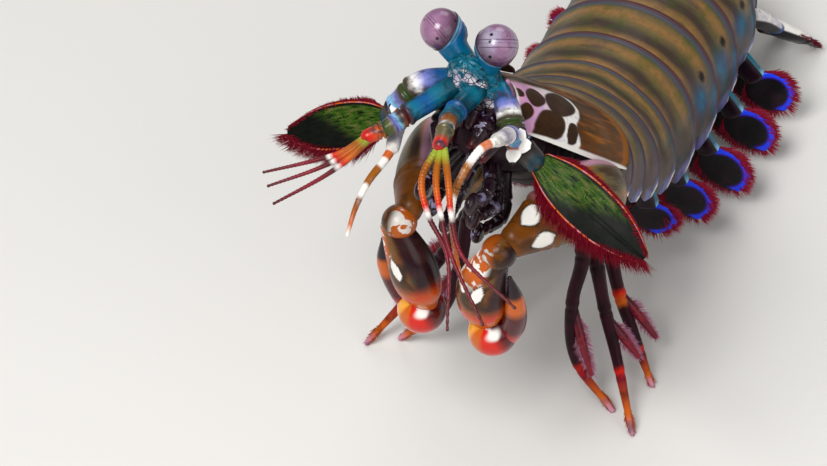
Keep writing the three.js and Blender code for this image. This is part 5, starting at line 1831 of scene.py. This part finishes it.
class MANTIS_OT_carapace(bpy.types.Operator):
    """Add the carapace with its net of pale lines"""

    bl_idname = "mantis.carapace"
    bl_label = "Carapace"

    def execute(self, context):
        build_carapace()
        return {"FINISHED"}


class MANTIS_OT_underside(bpy.types.Operator):
    """Add the soft skin under the plates"""

    bl_idname = "mantis.underside"
    bl_label = "Underside"

    def execute(self, context):
        build_underside()
        return {"FINISHED"}


class MANTIS_OT_head(bpy.types.Operator):
    """Add the front of the head and the rostral plate"""

    bl_idname = "mantis.head"
    bl_label = "Head"

    def execute(self, context):
        build_head()
        return {"FINISHED"}


class MANTIS_OT_eyes(bpy.types.Operator):
    """Add the corneas and their stalks"""

    bl_idname = "mantis.eyes"
    bl_label = "Eyes"

    def execute(self, context):
        build_eyes()
        return {"FINISHED"}


class MANTIS_OT_feelers(bpy.types.Operator):
    """Add antennules and antennae"""

    bl_idname = "mantis.feelers"
    bl_label = "Feelers"

    def execute(self, context):
        build_antennules()
        build_antennae()
        return {"FINISHED"}


class MANTIS_OT_scales(bpy.types.Operator):
    """Add the antennal scales and their fringes"""

    bl_idname = "mantis.scales"
    bl_label = "Antennal scales"

    def execute(self, context):
        build_scales()
        return {"FINISHED"}


class MANTIS_OT_claws(bpy.types.Operator):
    """Add the raptorial claws"""

    bl_idname = "mantis.claws"
    bl_label = "Claws"

    def execute(self, context):
        build_claws()
        return {"FINISHED"}


class MANTIS_OT_mouthparts(bpy.types.Operator):
    """Add the small maxillipeds"""

    bl_idname = "mantis.mouthparts"
    bl_label = "Mouthparts"

    def execute(self, context):
        build_mouthparts()
        return {"FINISHED"}


class MANTIS_OT_legs(bpy.types.Operator):
    """Add the walking legs"""

    bl_idname = "mantis.legs"
    bl_label = "Walking legs"

    def execute(self, context):
        build_legs()
        return {"FINISHED"}


class MANTIS_OT_swimmerets(bpy.types.Operator):
    """Add the swimmerets and their fringes"""

    bl_idname = "mantis.swimmerets"
    bl_label = "Swimmerets"

    def execute(self, context):
        build_swimmerets()
        return {"FINISHED"}


class MANTIS_OT_tail(bpy.types.Operator):
    """Add telson and uropods"""

    bl_idname = "mantis.tail"
    bl_label = "Tail fan"

    def execute(self, context):
        build_tail()
        return {"FINISHED"}


STEPS = (
    MANTIS_OT_stage,
    MANTIS_OT_somites,
    MANTIS_OT_carapace,
    MANTIS_OT_underside,
    MANTIS_OT_head,
    MANTIS_OT_eyes,
    MANTIS_OT_feelers,
    MANTIS_OT_scales,
    MANTIS_OT_claws,
    MANTIS_OT_mouthparts,
    MANTIS_OT_legs,
    MANTIS_OT_swimmerets,
    MANTIS_OT_tail,
)


class MANTIS_PT_panel(bpy.types.Panel):
    """Lists the pieces with their sizes and colours"""

    bl_label = "Mantis Shrimp"
    bl_idname = "MANTIS_PT_panel"
    bl_space_type = "VIEW_3D"
    bl_region_type = "UI"
    bl_category = "Mantis Shrimp"

    def draw(self, context):
        layout = self.layout
        for step in STEPS:
            layout.operator(step.bl_idname)
        for group in (context.scene.mantis_sizes, context.scene.mantis_colours):
            column = layout.column(align=True)
            for name in type(group).__annotations__:
                column.prop(group, name)


CLASSES = (MantisColours, MantisSizes, *STEPS, MANTIS_PT_panel)


def register():
    for item in CLASSES:
        bpy.utils.register_class(item)
    bpy.types.Scene.mantis_colours = PointerProperty(type=MantisColours)
    bpy.types.Scene.mantis_sizes = PointerProperty(type=MantisSizes)


def unregister():
    del bpy.types.Scene.mantis_sizes
    del bpy.types.Scene.mantis_colours
    for item in reversed(CLASSES):
        bpy.utils.unregister_class(item)


def main():
    register()
    for step in STEPS:
        group, _, name = step.bl_idname.partition(".")
        getattr(getattr(bpy.ops, group), name)()


if __name__ == "__main__":
    main()
